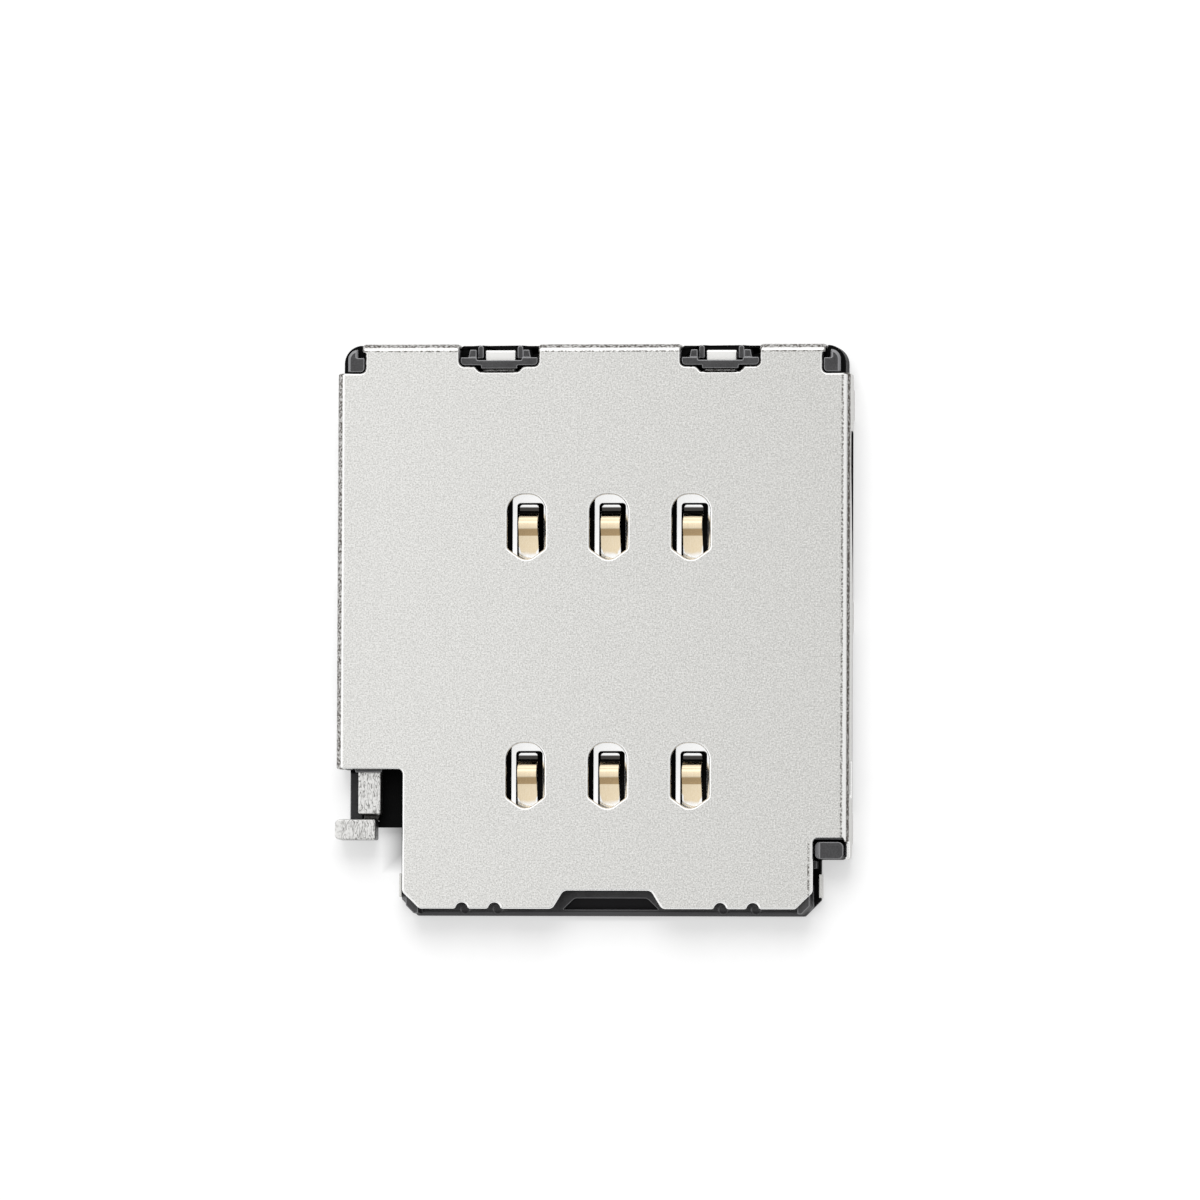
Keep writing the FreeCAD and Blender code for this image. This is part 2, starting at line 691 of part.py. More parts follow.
def link(start, end, start_radius, end_radius, z0, z1):
    """Arm with round ends and straight flanks tangent to both."""
    run = end - start
    heading = math.atan2(run.y, run.x)
    lean = math.acos((start_radius - end_radius) / run.Length)
    corners = []
    for angle, points in ((heading + lean, (start, end)), (heading - lean, (end, start))):
        normal = vector(math.cos(angle), math.sin(angle))
        for point in points:
            radius = start_radius if point is start else end_radius
            corner = point + normal * radius
            corners.append((corner.x, corner.y, 0))
    ends = [disc(start.x, start.y, start_radius, z0, z1), disc(end.x, end.y, end_radius, z0, z1)]
    return join([prism(corners, z0, z1)] + ends)


def make_lever():
    """Eject lever: a short arm that the rod pushes and a long arm that pushes the tray."""
    pivot = vector(PIVOT_X, PIVOT_Y)
    nose = vector(ROD_X, NOSE_Y)
    lift = math.radians(LEVER_LIFT)
    tip = pivot + vector(math.cos(lift), math.sin(lift)) * LEVER_LONG_ARM
    short = link(pivot, nose, LEVER_SHORT_ROOT, LEVER_NOSE_NECK, LEVER_BOTTOM, LEVER_TOP)
    long = link(pivot, tip, LEVER_LONG_ROOT, LEVER_TIP_RADIUS, LEVER_BOTTOM, LEVER_TOP)
    hub = disc(PIVOT_X, PIVOT_Y, LEVER_HUB_RADIUS, LEVER_BOTTOM, LEVER_TOP)
    nose_end = disc(ROD_X, NOSE_Y, LEVER_NOSE_RADIUS, LEVER_BOTTOM, LEVER_TOP)
    bore = disc(PIVOT_X, PIVOT_Y, BOSS_RADIUS + BOSS_GAP, 0, HEIGHT)
    return join([short, long, hub, nose_end]).cut(bore)


def make_side_spring(root):
    """Leaf spring beside the tray, its nose reaching into the tray's path, with a tail to the board."""
    nose_x = TRAY_SIDE - NOSE_REACH
    rest_x = RAIL_SIDE + SPRING_SHEET
    path = [
        (SPRING_X, root, 0),
        (SPRING_X, root + SPRING_STRAIGHT, SPRING_HEEL_BEND),
        (nose_x, root + SPRING_NOSE, SPRING_BEND),
        (rest_x, root + SPRING_TOE, SPRING_TOE_BEND),
        (rest_x, root + SPRING_LENGTH, 0),
    ]
    leaf = flat_strip(path, SPRING_SHEET, SPRING_BOTTOM, SPRING_TOP)
    half = SPRING_SHEET / 2
    tail = block(SPRING_X - half, SPRING_X + half, root, root + SPRING_TAIL, 0, SPRING_TOP)
    return join([leaf, tail])


def make_detect_terminal():
    """Fixed side of the tray switch: a blade gripped by the housing, with a tail to the board."""
    outer = POCKET_SIDE - TERMINAL_SPACE
    inner = outer - SPRING_SHEET
    front = SWITCH_ROOT + SPRING_LENGTH - TERMINAL_LAP
    rear = SWITCH_ROOT + POCKET_LENGTH + TERMINAL_GRIP
    blade = block(inner, outer, front, rear, SPRING_BOTTOM, SPRING_TOP)
    tail = block(inner, outer, rear - SPRING_TAIL, rear, 0, SPRING_TOP)
    return join([blade, tail])


def make_hold_down(hand):
    """Solder tab on the side of the floor at the mouth, with a root moulded into the floor."""
    half = HOLD_DOWN_LENGTH / 2
    root = HOLD_DOWN_ROOT_LENGTH / 2
    low = (FLOOR - HOLD_DOWN_SHEET) / 2
    face = FLOOR_SIDE - HOLD_DOWN_INSET
    outer = face + HOLD_DOWN_SHEET
    inner = FLOOR_SIDE - HOLD_DOWN_ROOT
    middle = HOLD_DOWN_Y
    blade = block(face, outer, middle - half, middle + half, 0, FLOOR + HOLD_DOWN_RISE)
    grip = block(inner, outer, middle - root, middle + root, low, low + HOLD_DOWN_SHEET)
    tab = join([blade, grip])
    return tab if hand > 0 else tab.mirror(vector(0, 0), vector(1, 0, 0))


def housing_walls():
    """Upper block of the housing under the plate, its outer top edges chamfered to clear the folds."""
    front = COVER_FRONT - FLOOR_CHAMFER
    lip = FRONT_LIP - RAIL_SETBACK
    toe = max(FLOOR_SIDE - FLOOR_CHAMFER, TRAY_SIDE + REVEAL)
    walls = prism(
        [
            (-HOUSE_LEFT, -LEFT_NOTCH, 0),
            (-RAIL_SIDE, -LEFT_NOTCH, 0),
            (-RAIL_SIDE, -lip + RAIL_SIDE - toe, 0),
            (-toe, -lip, 0),
            (-TRAY_SIDE, -lip, 0),
            (-TRAY_SIDE, -front, 0),
            (TRAY_SIDE, -front, 0),
            (TRAY_SIDE, -lip, 0),
            (toe, -lip, 0),
            (RAIL_SIDE, -lip + RAIL_SIDE - toe, 0),
            (RAIL_SIDE, -RIGHT_NOTCH - REVEAL, 0),
            (HOUSE_RIGHT, -RIGHT_NOTCH - REVEAL, 0),
            (HOUSE_RIGHT, HOUSE_REAR, CORNER_RADIUS),
            (-HOUSE_LEFT, HOUSE_REAR, CORNER_RADIUS),
        ],
        0,
        WALL_TOP,
    )
    folded = []
    reach = CORNER_RADIUS + TINY
    for edge in walls.Edges:
        box = edge.BoundBox
        on_top = box.ZMin > WALL_TOP - TINY
        at_side = box.XMax < reach - HOUSE_LEFT or box.XMin > HOUSE_RIGHT - reach
        at_rear = box.YMin > HOUSE_REAR - reach
        along_fold = box.XLength < TINY or at_rear
        if on_top and along_fold and (at_side or at_rear):
            folded.append(edge)
    return walls.makeChamfer(EDGE_CHAMFER, folded)


def housing_floor():
    """Floor of the housing with its chamfered front lip, the rod's bay and the right end."""
    cut = FLOOR_CHAMFER
    floor = prism(
        [
            (-FLOOR_SIDE + cut, -FRONT_LIP, 0),
            (FLOOR_SIDE - cut, -FRONT_LIP, 0),
            (FLOOR_SIDE, -FRONT_LIP + cut, 0),
            (FLOOR_SIDE, -BLOCK_FRONT, 0),
            (HOUSE_RIGHT, -BLOCK_FRONT, NOTCH_RADIUS),
            (HOUSE_RIGHT, -LEFT_NOTCH, 0),
            (-BAY_LEFT, -LEFT_NOTCH, 0),
            (-BAY_LEFT, -BAY_FRONT, 0),
            (-FLOOR_SIDE, -BAY_FRONT, 0),
            (-FLOOR_SIDE, -FRONT_LIP + cut, 0),
        ],
        0,
        FLOOR,
    )
    top = [edge for edge in floor.Edges if edge.BoundBox.ZMin > FLOOR - TINY]
    lip = [edge for edge in top if edge.BoundBox.YMax < cut - FRONT_LIP + TINY]
    return floor.makeChamfer(LIP_CHAMFER, lip)


def corner_post(hand):
    """Rear corner of the housing, standing out to the cover's rear face where the cover is notched."""
    edge = HOUSE_LEFT if hand < 0 else HOUSE_RIGHT
    inner = (CORNER_LEFT if hand < 0 else CORNER_RIGHT) + FOLD_TIP + REVEAL
    turn = min(CORNER_RADIUS, edge - inner)
    corners = [(inner, CORNER_FRONT, 0), (edge, CORNER_FRONT, 0)]
    corners += [(edge, POST_REAR, turn), (inner, POST_REAR, 0)]
    return prism([(hand * x, y, r) for x, y, r in corners], 0, PAD_BOTTOM + PAD_ROOT)


def latch_block(x):
    """Latch block at the rear: base and lip, ears, the bar over the cover's lug, posts and prongs."""
    half = LATCH_WIDTH / 2 - REVEAL
    inside = LUG_WIDTH / 2 + REVEAL
    bar = LATCH_DROP_WIDTH / 2 - LATCH_DROP_TAPER - REVEAL
    base_top = LUG_BOTTOM - SEAT_GAP
    root = LOW_WALL_TOP + SEAT_GAP
    ear_front = LATCH_SHOULDER + REVEAL
    ear_rear = ear_front + LATCH_EAR
    bar_bottom = LUG_TOP + SEAT_GAP
    post_side = inside + LATCH_RIB
    post_front = BAR_REAR + LATCH_POST_GAP
    post_turn = LATCH_RIB / 2 - TINY
    rear = HOUSE_REAR
    pieces = [block(x - half, x + half, BAR_FRONT, rear, 0, base_top)]
    pieces.append(block(x - half, x + half, rear - SHEET, POST_REAR, root, base_top))
    pieces.append(block(x - post_side, x + post_side, ear_front, BAR_REAR, bar_bottom, CREST))
    pieces.append(block(x - bar, x + bar, BAR_FRONT, BAR_REAR, bar_bottom, CREST))
    turn = NOTCH_RADIUS - REVEAL
    for hand in (-1, 1):
        near = x + hand * inside
        post = x + hand * post_side
        far = x + hand * half
        ear = [(post, ear_front, 0), (far, ear_front, turn), (far, ear_rear, 0), (post, ear_rear, 0)]
        pieces.append(prism(ear, root, CREST))
        stand = [(near, post_front, 0), (post, post_front, 0)]
        stand += [(post, POST_REAR, post_turn), (near, POST_REAR, post_turn)]
        pieces.append(prism(stand, root, LUG_TOP))
        inner = post + hand * SEAT_GAP
        tip = inner + hand * PRONG_WIDTH
        prong = [(inner, ear_rear - REVEAL, 0), (tip + hand * PRONG_FLARE, ear_rear - REVEAL, 0)]
        prong += [(tip, rear, 0), (inner, rear, 0)]
        pieces.append(prism(prong, root, CREST - LATCH_CREST))
    return join(pieces)


def corner_pad(hand):
    """Raised pad in a rear corner notch of the cover, rounded outside, slotted beside the fold's tip."""
    edge = HOUSE_LEFT if hand < 0 else HOUSE_RIGHT
    inner = (CORNER_LEFT if hand < 0 else CORNER_RIGHT) + REVEAL
    outer = edge - PAD_INSET
    front = CORNER_FRONT + REVEAL
    rear = POST_REAR - PAD_INSET
    slot = inner + PAD_SLOT_WIDTH
    step = rear - PAD_SLOT_DEPTH
    turn = min(CORNER_RADIUS - PAD_INSET, outer - slot)
    corners = [(inner, front, NOTCH_RADIUS - REVEAL), (outer, front, 0), (outer, rear, turn)]
    corners += [(slot, rear, 0), (slot, step, 0), (inner, step, 0)]
    pad = prism([(hand * x, y, r) for x, y, r in corners], PAD_BOTTOM, PAD_TOP)
    rim = []
    for line in pad.Edges:
        box = line.BoundBox
        nearest = min(hand * box.XMin, hand * box.XMax)
        if box.ZMin > PAD_TOP - TINY and nearest > slot - TINY:
            rim.append(line)
    return pad.makeChamfer(PAD_CHAMFER, rim)


def snap_barb(side, edge, centre):
    """Wedge on the housing's side that holds the cover down."""
    low = BARB_BOTTOM
    tip = edge + BARB_REACH
    half = BARB_LENGTH / 2
    corners = [(edge, low, 0), (tip, low, 0), (tip, low + BARB_LIP, 0), (edge, BARB_TOP, 0)]
    return side_prism(corners, *along(side, centre - half, centre + half), side)


def housing_cuts():
    """Spaces of the housing: tray channel, rod slot, lever bay, spring pockets and gaps in the rail."""
    above = HEIGHT + SHEET
    bridge_rear = BRIDGE_LENGTH - LEFT_NOTCH
    cuts = [
        block(-TRAY_SIDE, TRAY_SIDE, -FAR, CHANNEL_REAR, FLOOR, above),
        block(-ROD_SLOT_LEFT, -ROD_SLOT_RIGHT, -FAR, LEVER_BAY_FRONT, FLOOR, BRIDGE_BOTTOM),
        block(-ROD_SLOT_LEFT, -ROD_SLOT_RIGHT, bridge_rear, LEVER_BAY_FRONT, FLOOR, above),
        block(-LEVER_BAY_LEFT, -TRAY_SIDE, LEVER_BAY_FRONT, CHANNEL_REAR, FLOOR, above),
    ]
    for root in (LATCH_ROOT, SWITCH_ROOT):
        pocket_rear = root + POCKET_LENGTH
        cuts.append(block(RAIL_SIDE, POCKET_SIDE, root + SPRING_GRIP, pocket_rear, FLOOR, above))
        gap_front = root + SPRING_STRAIGHT + RAIL_GAP
        gap_rear = root + SPRING_TOE + RAIL_GAP
        cuts.append(block(TRAY_SIDE - REVEAL, RAIL_SIDE + REVEAL, gap_front, gap_rear, FLOOR, above))
    for x in (-LATCH_X, LATCH_X):
        half = LATCH_WIDTH / 2
        cuts.append(block(x - half, x + half, LATCH_FLOOR, FAR, LUG_BOTTOM - SEAT_GAP, above))
    ledge = PAD_BOTTOM + PAD_ROOT
    cuts.append(block(-FAR, -CORNER_LEFT, CORNER_FRONT, FAR, ledge, above))
    cuts.append(block(CORNER_RIGHT, FAR, CORNER_FRONT, FAR, ledge, above))
    cuts.append(prism(thumb_outline(THUMB_POCKET_INSET, 0.0), FLOOR - THUMB_POCKET_DEPTH, above))
    cuts += [contact_well(x, y) for name, x, y in contact_places()]
    return cuts


def end_block():
    """Block at the right wall's front end, beside the cover's folded side, sloped towards the plate."""
    inner = MOUTH_SIDE + REVEAL
    turn = NOTCH_RADIUS
    corners = [(inner, -BLOCK_FRONT, turn), (HOUSE_RIGHT, -BLOCK_FRONT, turn)]
    corners += [(HOUSE_RIGHT, -BLOCK_REAR, turn), (inner, -BLOCK_REAR, turn)]
    steep = END_BLOCK_FALL / END_BLOCK_SLOPE
    out = inner - REVEAL
    top = inner + END_BLOCK_SLOPE
    above = CREST + SHEET
    slope = [(out, CREST - END_BLOCK_FALL - steep * REVEAL, 0), (top, CREST, 0)]
    slope += [(top, above, 0), (out, above, 0)]
    shaved = side_prism(slope, *along(RIGHT_SIDE, -BLOCK_FRONT - SHEET, -BLOCK_REAR + SHEET), RIGHT_SIDE)
    return prism(corners, 0, CREST).cut(shaved)


def end_rib():
    """Small rib on the floor in front of the end block."""
    rear = -BLOCK_FRONT - REVEAL
    outer = MOUTH_SIDE + END_RIB_WIDTH
    return block(RAIL_SIDE, outer, rear - END_RIB_LENGTH, rear, ROOT_LEVEL, HEIGHT - END_RIB_DROP)


def make_housing(inserts):
    """Moulded housing, moulded round the metal pieces that it holds."""
    walls = [housing_walls(), housing_floor(), corner_post(-1), corner_post(1)]
    housing = join(walls).cut(housing_cuts())
    adds = [latch_block(x) for x in (-LATCH_X, LATCH_X)]
    adds += [corner_pad(hand) for hand in (-1, 1)]
    adds += [snap_barb(LEFT_SIDE, HOUSE_LEFT, y) for y in LEFT_BARBS]
    adds += [snap_barb(RIGHT_SIDE, HOUSE_RIGHT, y) for y in RIGHT_BARBS]
    adds.append(disc(PIVOT_X, PIVOT_Y, BOSS_RADIUS, ROOT_LEVEL, LEVER_TOP + BOSS_CROWN))
    adds.append(disc(PIVOT_X, PIVOT_Y, BOSS_RADIUS + BOSS_LEDGE, ROOT_LEVEL, LEVER_BOTTOM - SEAT_GAP))
    adds += [disc(x, -COVER_FRONT, PIP_RADIUS, ROOT_LEVEL, FLOOR + PIP_RISE) for x in pip_places()]
    bridge_front = -LEFT_NOTCH - BRIDGE_REACH
    adds.append(block(-ROD_SLOT_LEFT, -ROD_SLOT_RIGHT, bridge_front, -LEFT_NOTCH, BRIDGE_BOTTOM, WALL_TOP))
    adds += [end_block(), end_rib()]
    return join([housing] + adds).cut(inserts)


def build():
    """All pieces by node name."""
    pieces = {name: make_contact(x, y) for name, x, y in contact_places()}
    pieces["tray_latch_spring"] = make_side_spring(LATCH_ROOT)
    pieces["detect_spring"] = make_side_spring(SWITCH_ROOT)
    pieces["detect_terminal"] = make_detect_terminal()
    pieces["hold_down_left"] = make_hold_down(-1)
    pieces["hold_down_right"] = make_hold_down(1)
    inserts = list(pieces.values())
    pieces["housing"] = make_housing(inserts)
    pieces["cover_shell"] = make_cover()
    pieces["eject_rod"] = make_rod()
    pieces["eject_lever"] = make_lever()
    return pieces


os.makedirs("parts", exist_ok=True)
for node, shape in build().items():
    shape.exportStep("parts/%s.step" % node)
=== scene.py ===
import bpy
import math
from mathutils import Matrix, Vector
from mathutils.bvhtree import BVHTree


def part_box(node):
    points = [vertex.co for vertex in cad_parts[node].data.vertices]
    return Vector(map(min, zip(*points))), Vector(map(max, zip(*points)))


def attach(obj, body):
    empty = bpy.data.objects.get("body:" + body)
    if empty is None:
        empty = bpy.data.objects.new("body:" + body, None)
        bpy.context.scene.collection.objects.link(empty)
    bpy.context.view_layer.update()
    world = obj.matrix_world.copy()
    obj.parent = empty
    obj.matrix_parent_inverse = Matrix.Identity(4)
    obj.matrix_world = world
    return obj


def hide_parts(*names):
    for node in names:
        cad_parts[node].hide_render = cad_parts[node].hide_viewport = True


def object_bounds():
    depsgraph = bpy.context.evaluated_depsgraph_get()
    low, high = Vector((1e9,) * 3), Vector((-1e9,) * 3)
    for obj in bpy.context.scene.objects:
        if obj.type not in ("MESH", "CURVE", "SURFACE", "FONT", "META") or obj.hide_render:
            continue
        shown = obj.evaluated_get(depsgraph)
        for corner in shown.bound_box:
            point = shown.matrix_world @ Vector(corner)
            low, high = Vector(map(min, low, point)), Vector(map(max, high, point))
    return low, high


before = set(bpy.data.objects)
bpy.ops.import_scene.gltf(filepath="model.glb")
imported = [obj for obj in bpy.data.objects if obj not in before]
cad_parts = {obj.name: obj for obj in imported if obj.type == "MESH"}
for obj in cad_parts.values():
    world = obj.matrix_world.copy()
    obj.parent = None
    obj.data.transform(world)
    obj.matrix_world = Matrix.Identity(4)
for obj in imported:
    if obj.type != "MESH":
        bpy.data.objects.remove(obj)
cad_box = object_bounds()

# The scene is in metres. Sizes and places below are in millimetres, angles in degrees and colours linear.
# A pair of places gives where a mask starts and where it is full. A tooth is a bump's strength and depth.
MM = 0.001

# Camera: it looks down on the cover, leaning a little to the right wall and to the mouth
VIEW_CENTRE = (-0.25, 1.567)
VIEW_WIDTH = 36.75
VIEW_DISTANCE = 480.0
VIEW_LEAN_RIGHT = 7.0
VIEW_LEAN_FRONT = 2.25
SENSOR = 36.0
NEAR_CLIP = 1.0
FAR_CLIP = 2000.0

# Lamp: a soft square behind and above the part, its power in watts
LAMP_PLACE = (-5, 105, 130)
LAMP_AIM = (0, 0, 0)
LAMP_SIZE = 110
LAMP_POWER = 0.27

# World: its grey from the horizon (0) to straight up (1), and its level by direction
SKY_STOPS = ((0.0, 1.0), (0.12, 1.0), (0.24, 0.90), (0.50, 0.92), (0.70, 1.0), (1.0, 1.0))
SKY_RIGHT_FRONT = 0.72
SKY_LEFT_REAR = 1.28
SKY_FRONT = 0.60
SKY_FRONT_START = (-0.45, -0.75)
SKY_FRONT_HEIGHT = (0.15, 0.40)
SKY_SHEET = 1.40
SKY_SHEET_START = (0.40, 0.52)
SKY_SHEET_END = (0.72, 0.62)
SKY_SHEET_HEIGHT = (0.60, 0.72)

# Floor: the share of plain white that it shows by itself, and where it turns to painted shade under the part,
# measured outwards from the sides of the part's box
FLOOR_WIDTH = 1200.0
FLOOR_GLOW = 0.50
FLOOR_UNDER = (-2.4, -1.3)
FLOOR_PAINTED_SHADE = (0.02, 0.02, 0.02, 1)
PAPER_DARK = (0.36, 0.36, 0.36, 1)
PAPER_PALE = (0.38, 0.38, 0.38, 1)
PAPER_GRAIN = 0.6
PAPER_ROUGHNESS = 0.9

# Rounding of edges, by kind of piece: width and steps across it
STEEL_EDGE = (0.068, 4)
MOULDED_EDGE = (0.030, 3)
STAMPED_EDGE = (0.014, 2)
ROD_EDGE = (0.05, 3)
EDGE_ANGLE = 32.0
SMOOTH_ANGLE = 38.0
FLAT_ANGLE = 0.4
MERGE_DISTANCE = 0.004
# Share of its width that a rounding may lie from the solid before it is put back
STRAY = 0.55
# Weight of the wide faces over the narrow ones in the shading, where 50 is neutral
FLAT_LEAD = 100

# Grain: the range in which noise mostly lies
NOISE_SPREAD = (0.3, 0.7)

# Tilt: how far up a surface faces where it starts to bend, is turned well over, or is upright; and how much
# sooner it counts as turned over to the left and the rear, or later to the right
TILT_BEND = (0.9995, 0.98)
TILT_TURNED = (0.84, 0.72)
TILT_UPRIGHT = (0.25, 0.05)
LEFT_SOONER = 0.45
RIGHT_LATER = 0.05
REAR_SOONER = 0.17

# Cover steel
STEEL_SPECKLE = 0.045
STEEL_CLOUD = 3.0
STEEL_DARK = (0.485, 0.482, 0.464, 1)
STEEL_PALE = (0.855, 0.851, 0.829, 1)
STEEL_LUG = (0.84, 0.836, 0.82, 1)
# Painted highlight on the rounded edges and bends
STEEL_BEND_HIGHLIGHT = (0.97, 0.968, 0.955, 1)
STEEL_SHEARED = (0.66, 0.655, 0.64, 1)
# Colour of the broken dark lines, and of the painted dark reflection on the folds
STEEL_LINES_AND_PAINTED_REFLECTION = (0.085, 0.075, 0.067, 1)
# Painted light falloff: the flat steel is painted lighter to the left and darker to the right
STEEL_FALLOFF_SIDES = (-7.0, 7.0)
STEEL_PAINTED_FALLOFF = 0.12
STEEL_ROUGHNESS = (0.34, 0.44)
CLOUD_ROUGHNESS = 0.02
BEND_POLISH = 0.14
SHEARED_ROUGHNESS = 0.30
STEEL_TOOTH = (0.2, 0.003)

# Hook lugs of the cover, one each side of the middle
LUG_CENTRE = 3.40
LUG_HALF = 0.70
LUG_START = (8.70, 8.72)

# Folds of the cover: where each begins, and the spotted dark brow along it, a painted dark reflection
RIGHT_FOLD = (7.20, 7.24)
LEFT_FOLD = (-8.16, -8.20)
REAR_FOLD = (8.50, 8.55)
BROW_HEIGHT = (1.17, 1.23)
BROW_SPOT = 0.07
BROW_SPREAD = (0.38, 0.62)
BROW_DEPTH = (0.96, 0.48)
BROW_SIDE = (6.9, 7.1)
BROW_MORE = 0.03
BROW_MORE_RIGHT = 0.24

# Broken dark lines on the cover: place and half width of each line, and the gaps in them
MOUTH_DARK_LINE = (6.20, 0.04)
MOUTH_DARK_LINE_END = (-5.8, -5.9)
RIGHT_DARK_LINE = (7.20, 0.045)
REAR_DARK_LINE = (9.20, 0.03)
DARK_LINE_SPOT = 0.07
DARK_LINE_SPREAD = (0.43, 0.60)
DARK_LINE_DEPTH = 0.9

# Housing plastic
PLASTIC_SPECKLE = 0.05
PLASTIC_CLOUD = 0.45
PLASTIC_DARK = (0.010, 0.0098, 0.0105, 1)
PLASTIC_PALE = (0.030, 0.0295, 0.0315, 1)
# Painted shade for faces away from the light, and its less dark level in the tray mouth
PLASTIC_PAINTED_SHADE = (0.002, 0.002, 0.0021, 1)
PLASTIC_MOUTH = (0.022, 0.0216, 0.023, 1)
# Painted highlight along the rounded edges of the lit faces
PLASTIC_EDGE_HIGHLIGHT = (0.15, 0.15, 0.155, 1)
PLASTIC_EDGE_HIGHLIGHT_TILT = (0.0, 0.5)
PLASTIC_ROUGHNESS = (0.40, 0.56)
PLASTIC_TOOTH = (0.3, 0.006)
PLASTIC_IOR = 1.12
COAT_WEIGHT = (0.60, 1.0)
COAT_IOR = 1.6
COAT_ROUGHNESS = 0.4
SIDE_SHEEN = 0.25

# Places on the housing painted as lit, with a painted sheen, the rest being painted shade: faces above a
# height, which lies higher round the rear corner pads, the front lip, and the strip beside the rod
RAISED_HEIGHT = (0.82, 0.92)
PAD_RIGHT = (6.50, 6.52)
PAD_LEFT = (-7.45, -7.47)
PAD_FRONT = (8.50, 8.52)
PAD_HIGHER = 0.28
MOUTH_START = (-7.10, -7.20)
MOUTH_RIGHT = (6.28, 6.24)
LIP_HEIGHT = (0.16, 0.24)
LIP_FRONT = (-7.90, -7.96)
LIP_FRONT_SHEEN = 0.35
STRIP_RIGHT = (-7.70, -7.72)
STRIP_REAR = (-3.70, -3.75)
STRIP_SHEEN = 0.55

# Spring contacts: their spacing, how far their faces are dished, and places along and across a tongue
CONTACT_PITCH = 2.54
CONTACT_ROWS = 7.62
CONTACT_DISH = 0.22
ARCH_DISH = 0.09
CROWN_ROUNDING = 0.42
CROWN_START = (0.17, 0.23)
CROWN_END = (0.40, 0.34)
CROWN_HEIGHT = (0.50, 0.55)
FRONT_SLOPE = (-0.36, -0.47)
ROOT_NARROWING = (-0.90, -0.45)
ROOT_SQUEEZE = 0.16
GOLD_SIDES = (0.36, 0.33)
GOLD_ROOT = (-0.86, -0.74)
GOLD_TIP = (0.47, 0.43)
GOLD_HEIGHT = (0.40, 0.46)
GOLD_WANDER = 0.08
# Painted shade on the tongue behind its crown: where it starts, where it ends and its sides
TIP_SHADE_START = (0.42, 0.46)
TIP_SHADE_END = (0.66, 0.62)
TIP_SHADE_SIDES = (0.33, 0.31)
CONTACTS = ("contact_c1", "contact_c2", "contact_c3", "contact_c5", "contact_c6", "contact_c7")

# Plating of the contacts
CONTACT_LINES = 0.04
CONTACT_STRETCH = 0.10
CONTACT_SPECKLE = 0.09
CONTACT_CLOUD = 0.35
GOLD_DEEP = (0.79, 0.643, 0.427, 1)
GOLD_PALE = (0.92, 0.797, 0.597, 1)
# Painted shade on the gold where the crown slopes to the front
GOLD_SLOPE_SHADE = (0.80, 0.57, 0.31, 1)
TIN_DARK = (0.96, 0.96, 0.955, 1)
TIN_PALE = (0.99, 0.99, 0.985, 1)
# Painted shade on the tongue behind its crown
TIP_PAINTED_SHADE = (0.05, 0.047, 0.043, 1)
PLATING_ROUGHNESS = (0.14, 0.22)
TIN_POLISH = 0.5
TIN_METALLIC = 0.92
PLATING_TOOTH = (0.08, 0.002)

# Rod steel: furrows that wander, aslant by an angle in radians, a smooth left end of the head, and painted
# shade on the neck behind the head and on the upright sides
FURROW_SIZE = 0.15
FURROW_SLANT = 0.35
FURROW_STRETCH = 0.32
FURROW_TURNS = 6.0
FURROW_FOLD = 0.5
FURROW_EDGE = (0.0, 0.15)
HEAD_SMOOTH = (-8.16, -8.26)
ROD_SPECKLE = 0.09
ROD_CLOUD = 0.7
ROD_SPECKLE_SPREAD = (0.0, 0.6)
ROD_WEAR = (0.55, 1.0)
ROD_DARK = (0.22, 0.216, 0.207, 1)
ROD_PALE = (0.77, 0.765, 0.75, 1)
ROD_SHADE = (0.06, 0.058, 0.055, 1)
ROD_ROUGHNESS = (0.55, 0.34)
ROD_TOOTH = (0.5, 0.012)
ROD_NECK = (-5.08, 0.11)
NECK_HEIGHT = (0.82, 0.78)
ROD_SIDE_SHADE = 0.8

# Spring steel
SPRING_LINES = 0.025
SPRING_STRETCH = 0.08
SPRING_DARK = (0.55, 0.545, 0.52, 1)
SPRING_PALE = (0.74, 0.735, 0.71, 1)
SPRING_ROUGHNESS = (0.24, 0.4)
SPRING_TOOTH = (0.2, 0.002)


def node_in(tree, kind, inputs=None, **settings):
    """A new shader node with its settings, and its inputs set to values or linked to sockets."""
    node = tree.nodes.new(kind)
    for name, value in settings.items():
        setattr(node, name, value)
    for name, value in (inputs or {}).items():
        socket = node.inputs[name]
        if isinstance(value, bpy.types.NodeSocket):
            tree.links.new(value, socket)
        else:
            socket.default_value = value
    return node


def noise(tree, coords, size, detail=2.0):
    """Noise whose spots are about as wide as size, in millimetres."""
    inputs = {"Vector": coords, "Scale": 1 / (size * MM), "Detail": detail}
    return node_in(tree, "ShaderNodeTexNoise", inputs).outputs["Fac"]


def stretched(tree, coords, along, slant=0.0):
    """Coordinates in which a pattern is drawn out along the reader, and may lie aslant."""
    inputs = {"Vector": coords, "Rotation": (0, 0, slant), "Scale": (1, along, 1)}
    return node_in(tree, "ShaderNodeMapping", inputs).outputs["Vector"]


def split(tree, vector):
    """The x, y and z of a vector."""
    outputs = node_in(tree, "ShaderNodeSeparateXYZ", {"Vector": vector}).outputs
    return outputs["X"], outputs["Y"], outputs["Z"]


def remap(tree, value, low, high, to_low=0.0, to_high=1.0):
    """Value between low and high, stretched to another range and held there."""
    inputs = {"Value": value, "From Min": low, "From Max": high, "To Min": to_low, "To Max": to_high}
    return node_in(tree, "ShaderNodeMapRange", inputs, clamp=True).outputs["Result"]


def past(tree, value, places, before=0.0, beyond=1.0):
    """Level that changes as a coordinate passes a pair of places in millimetres."""
    start, full = places
    return remap(tree, value, start * MM, full * MM, before, beyond)


def between(tree, mask, low, high):
    """Level that goes from low to high as a mask goes from nothing to full."""
    return remap(tree, mask, 0.0, 1.0, low, high)


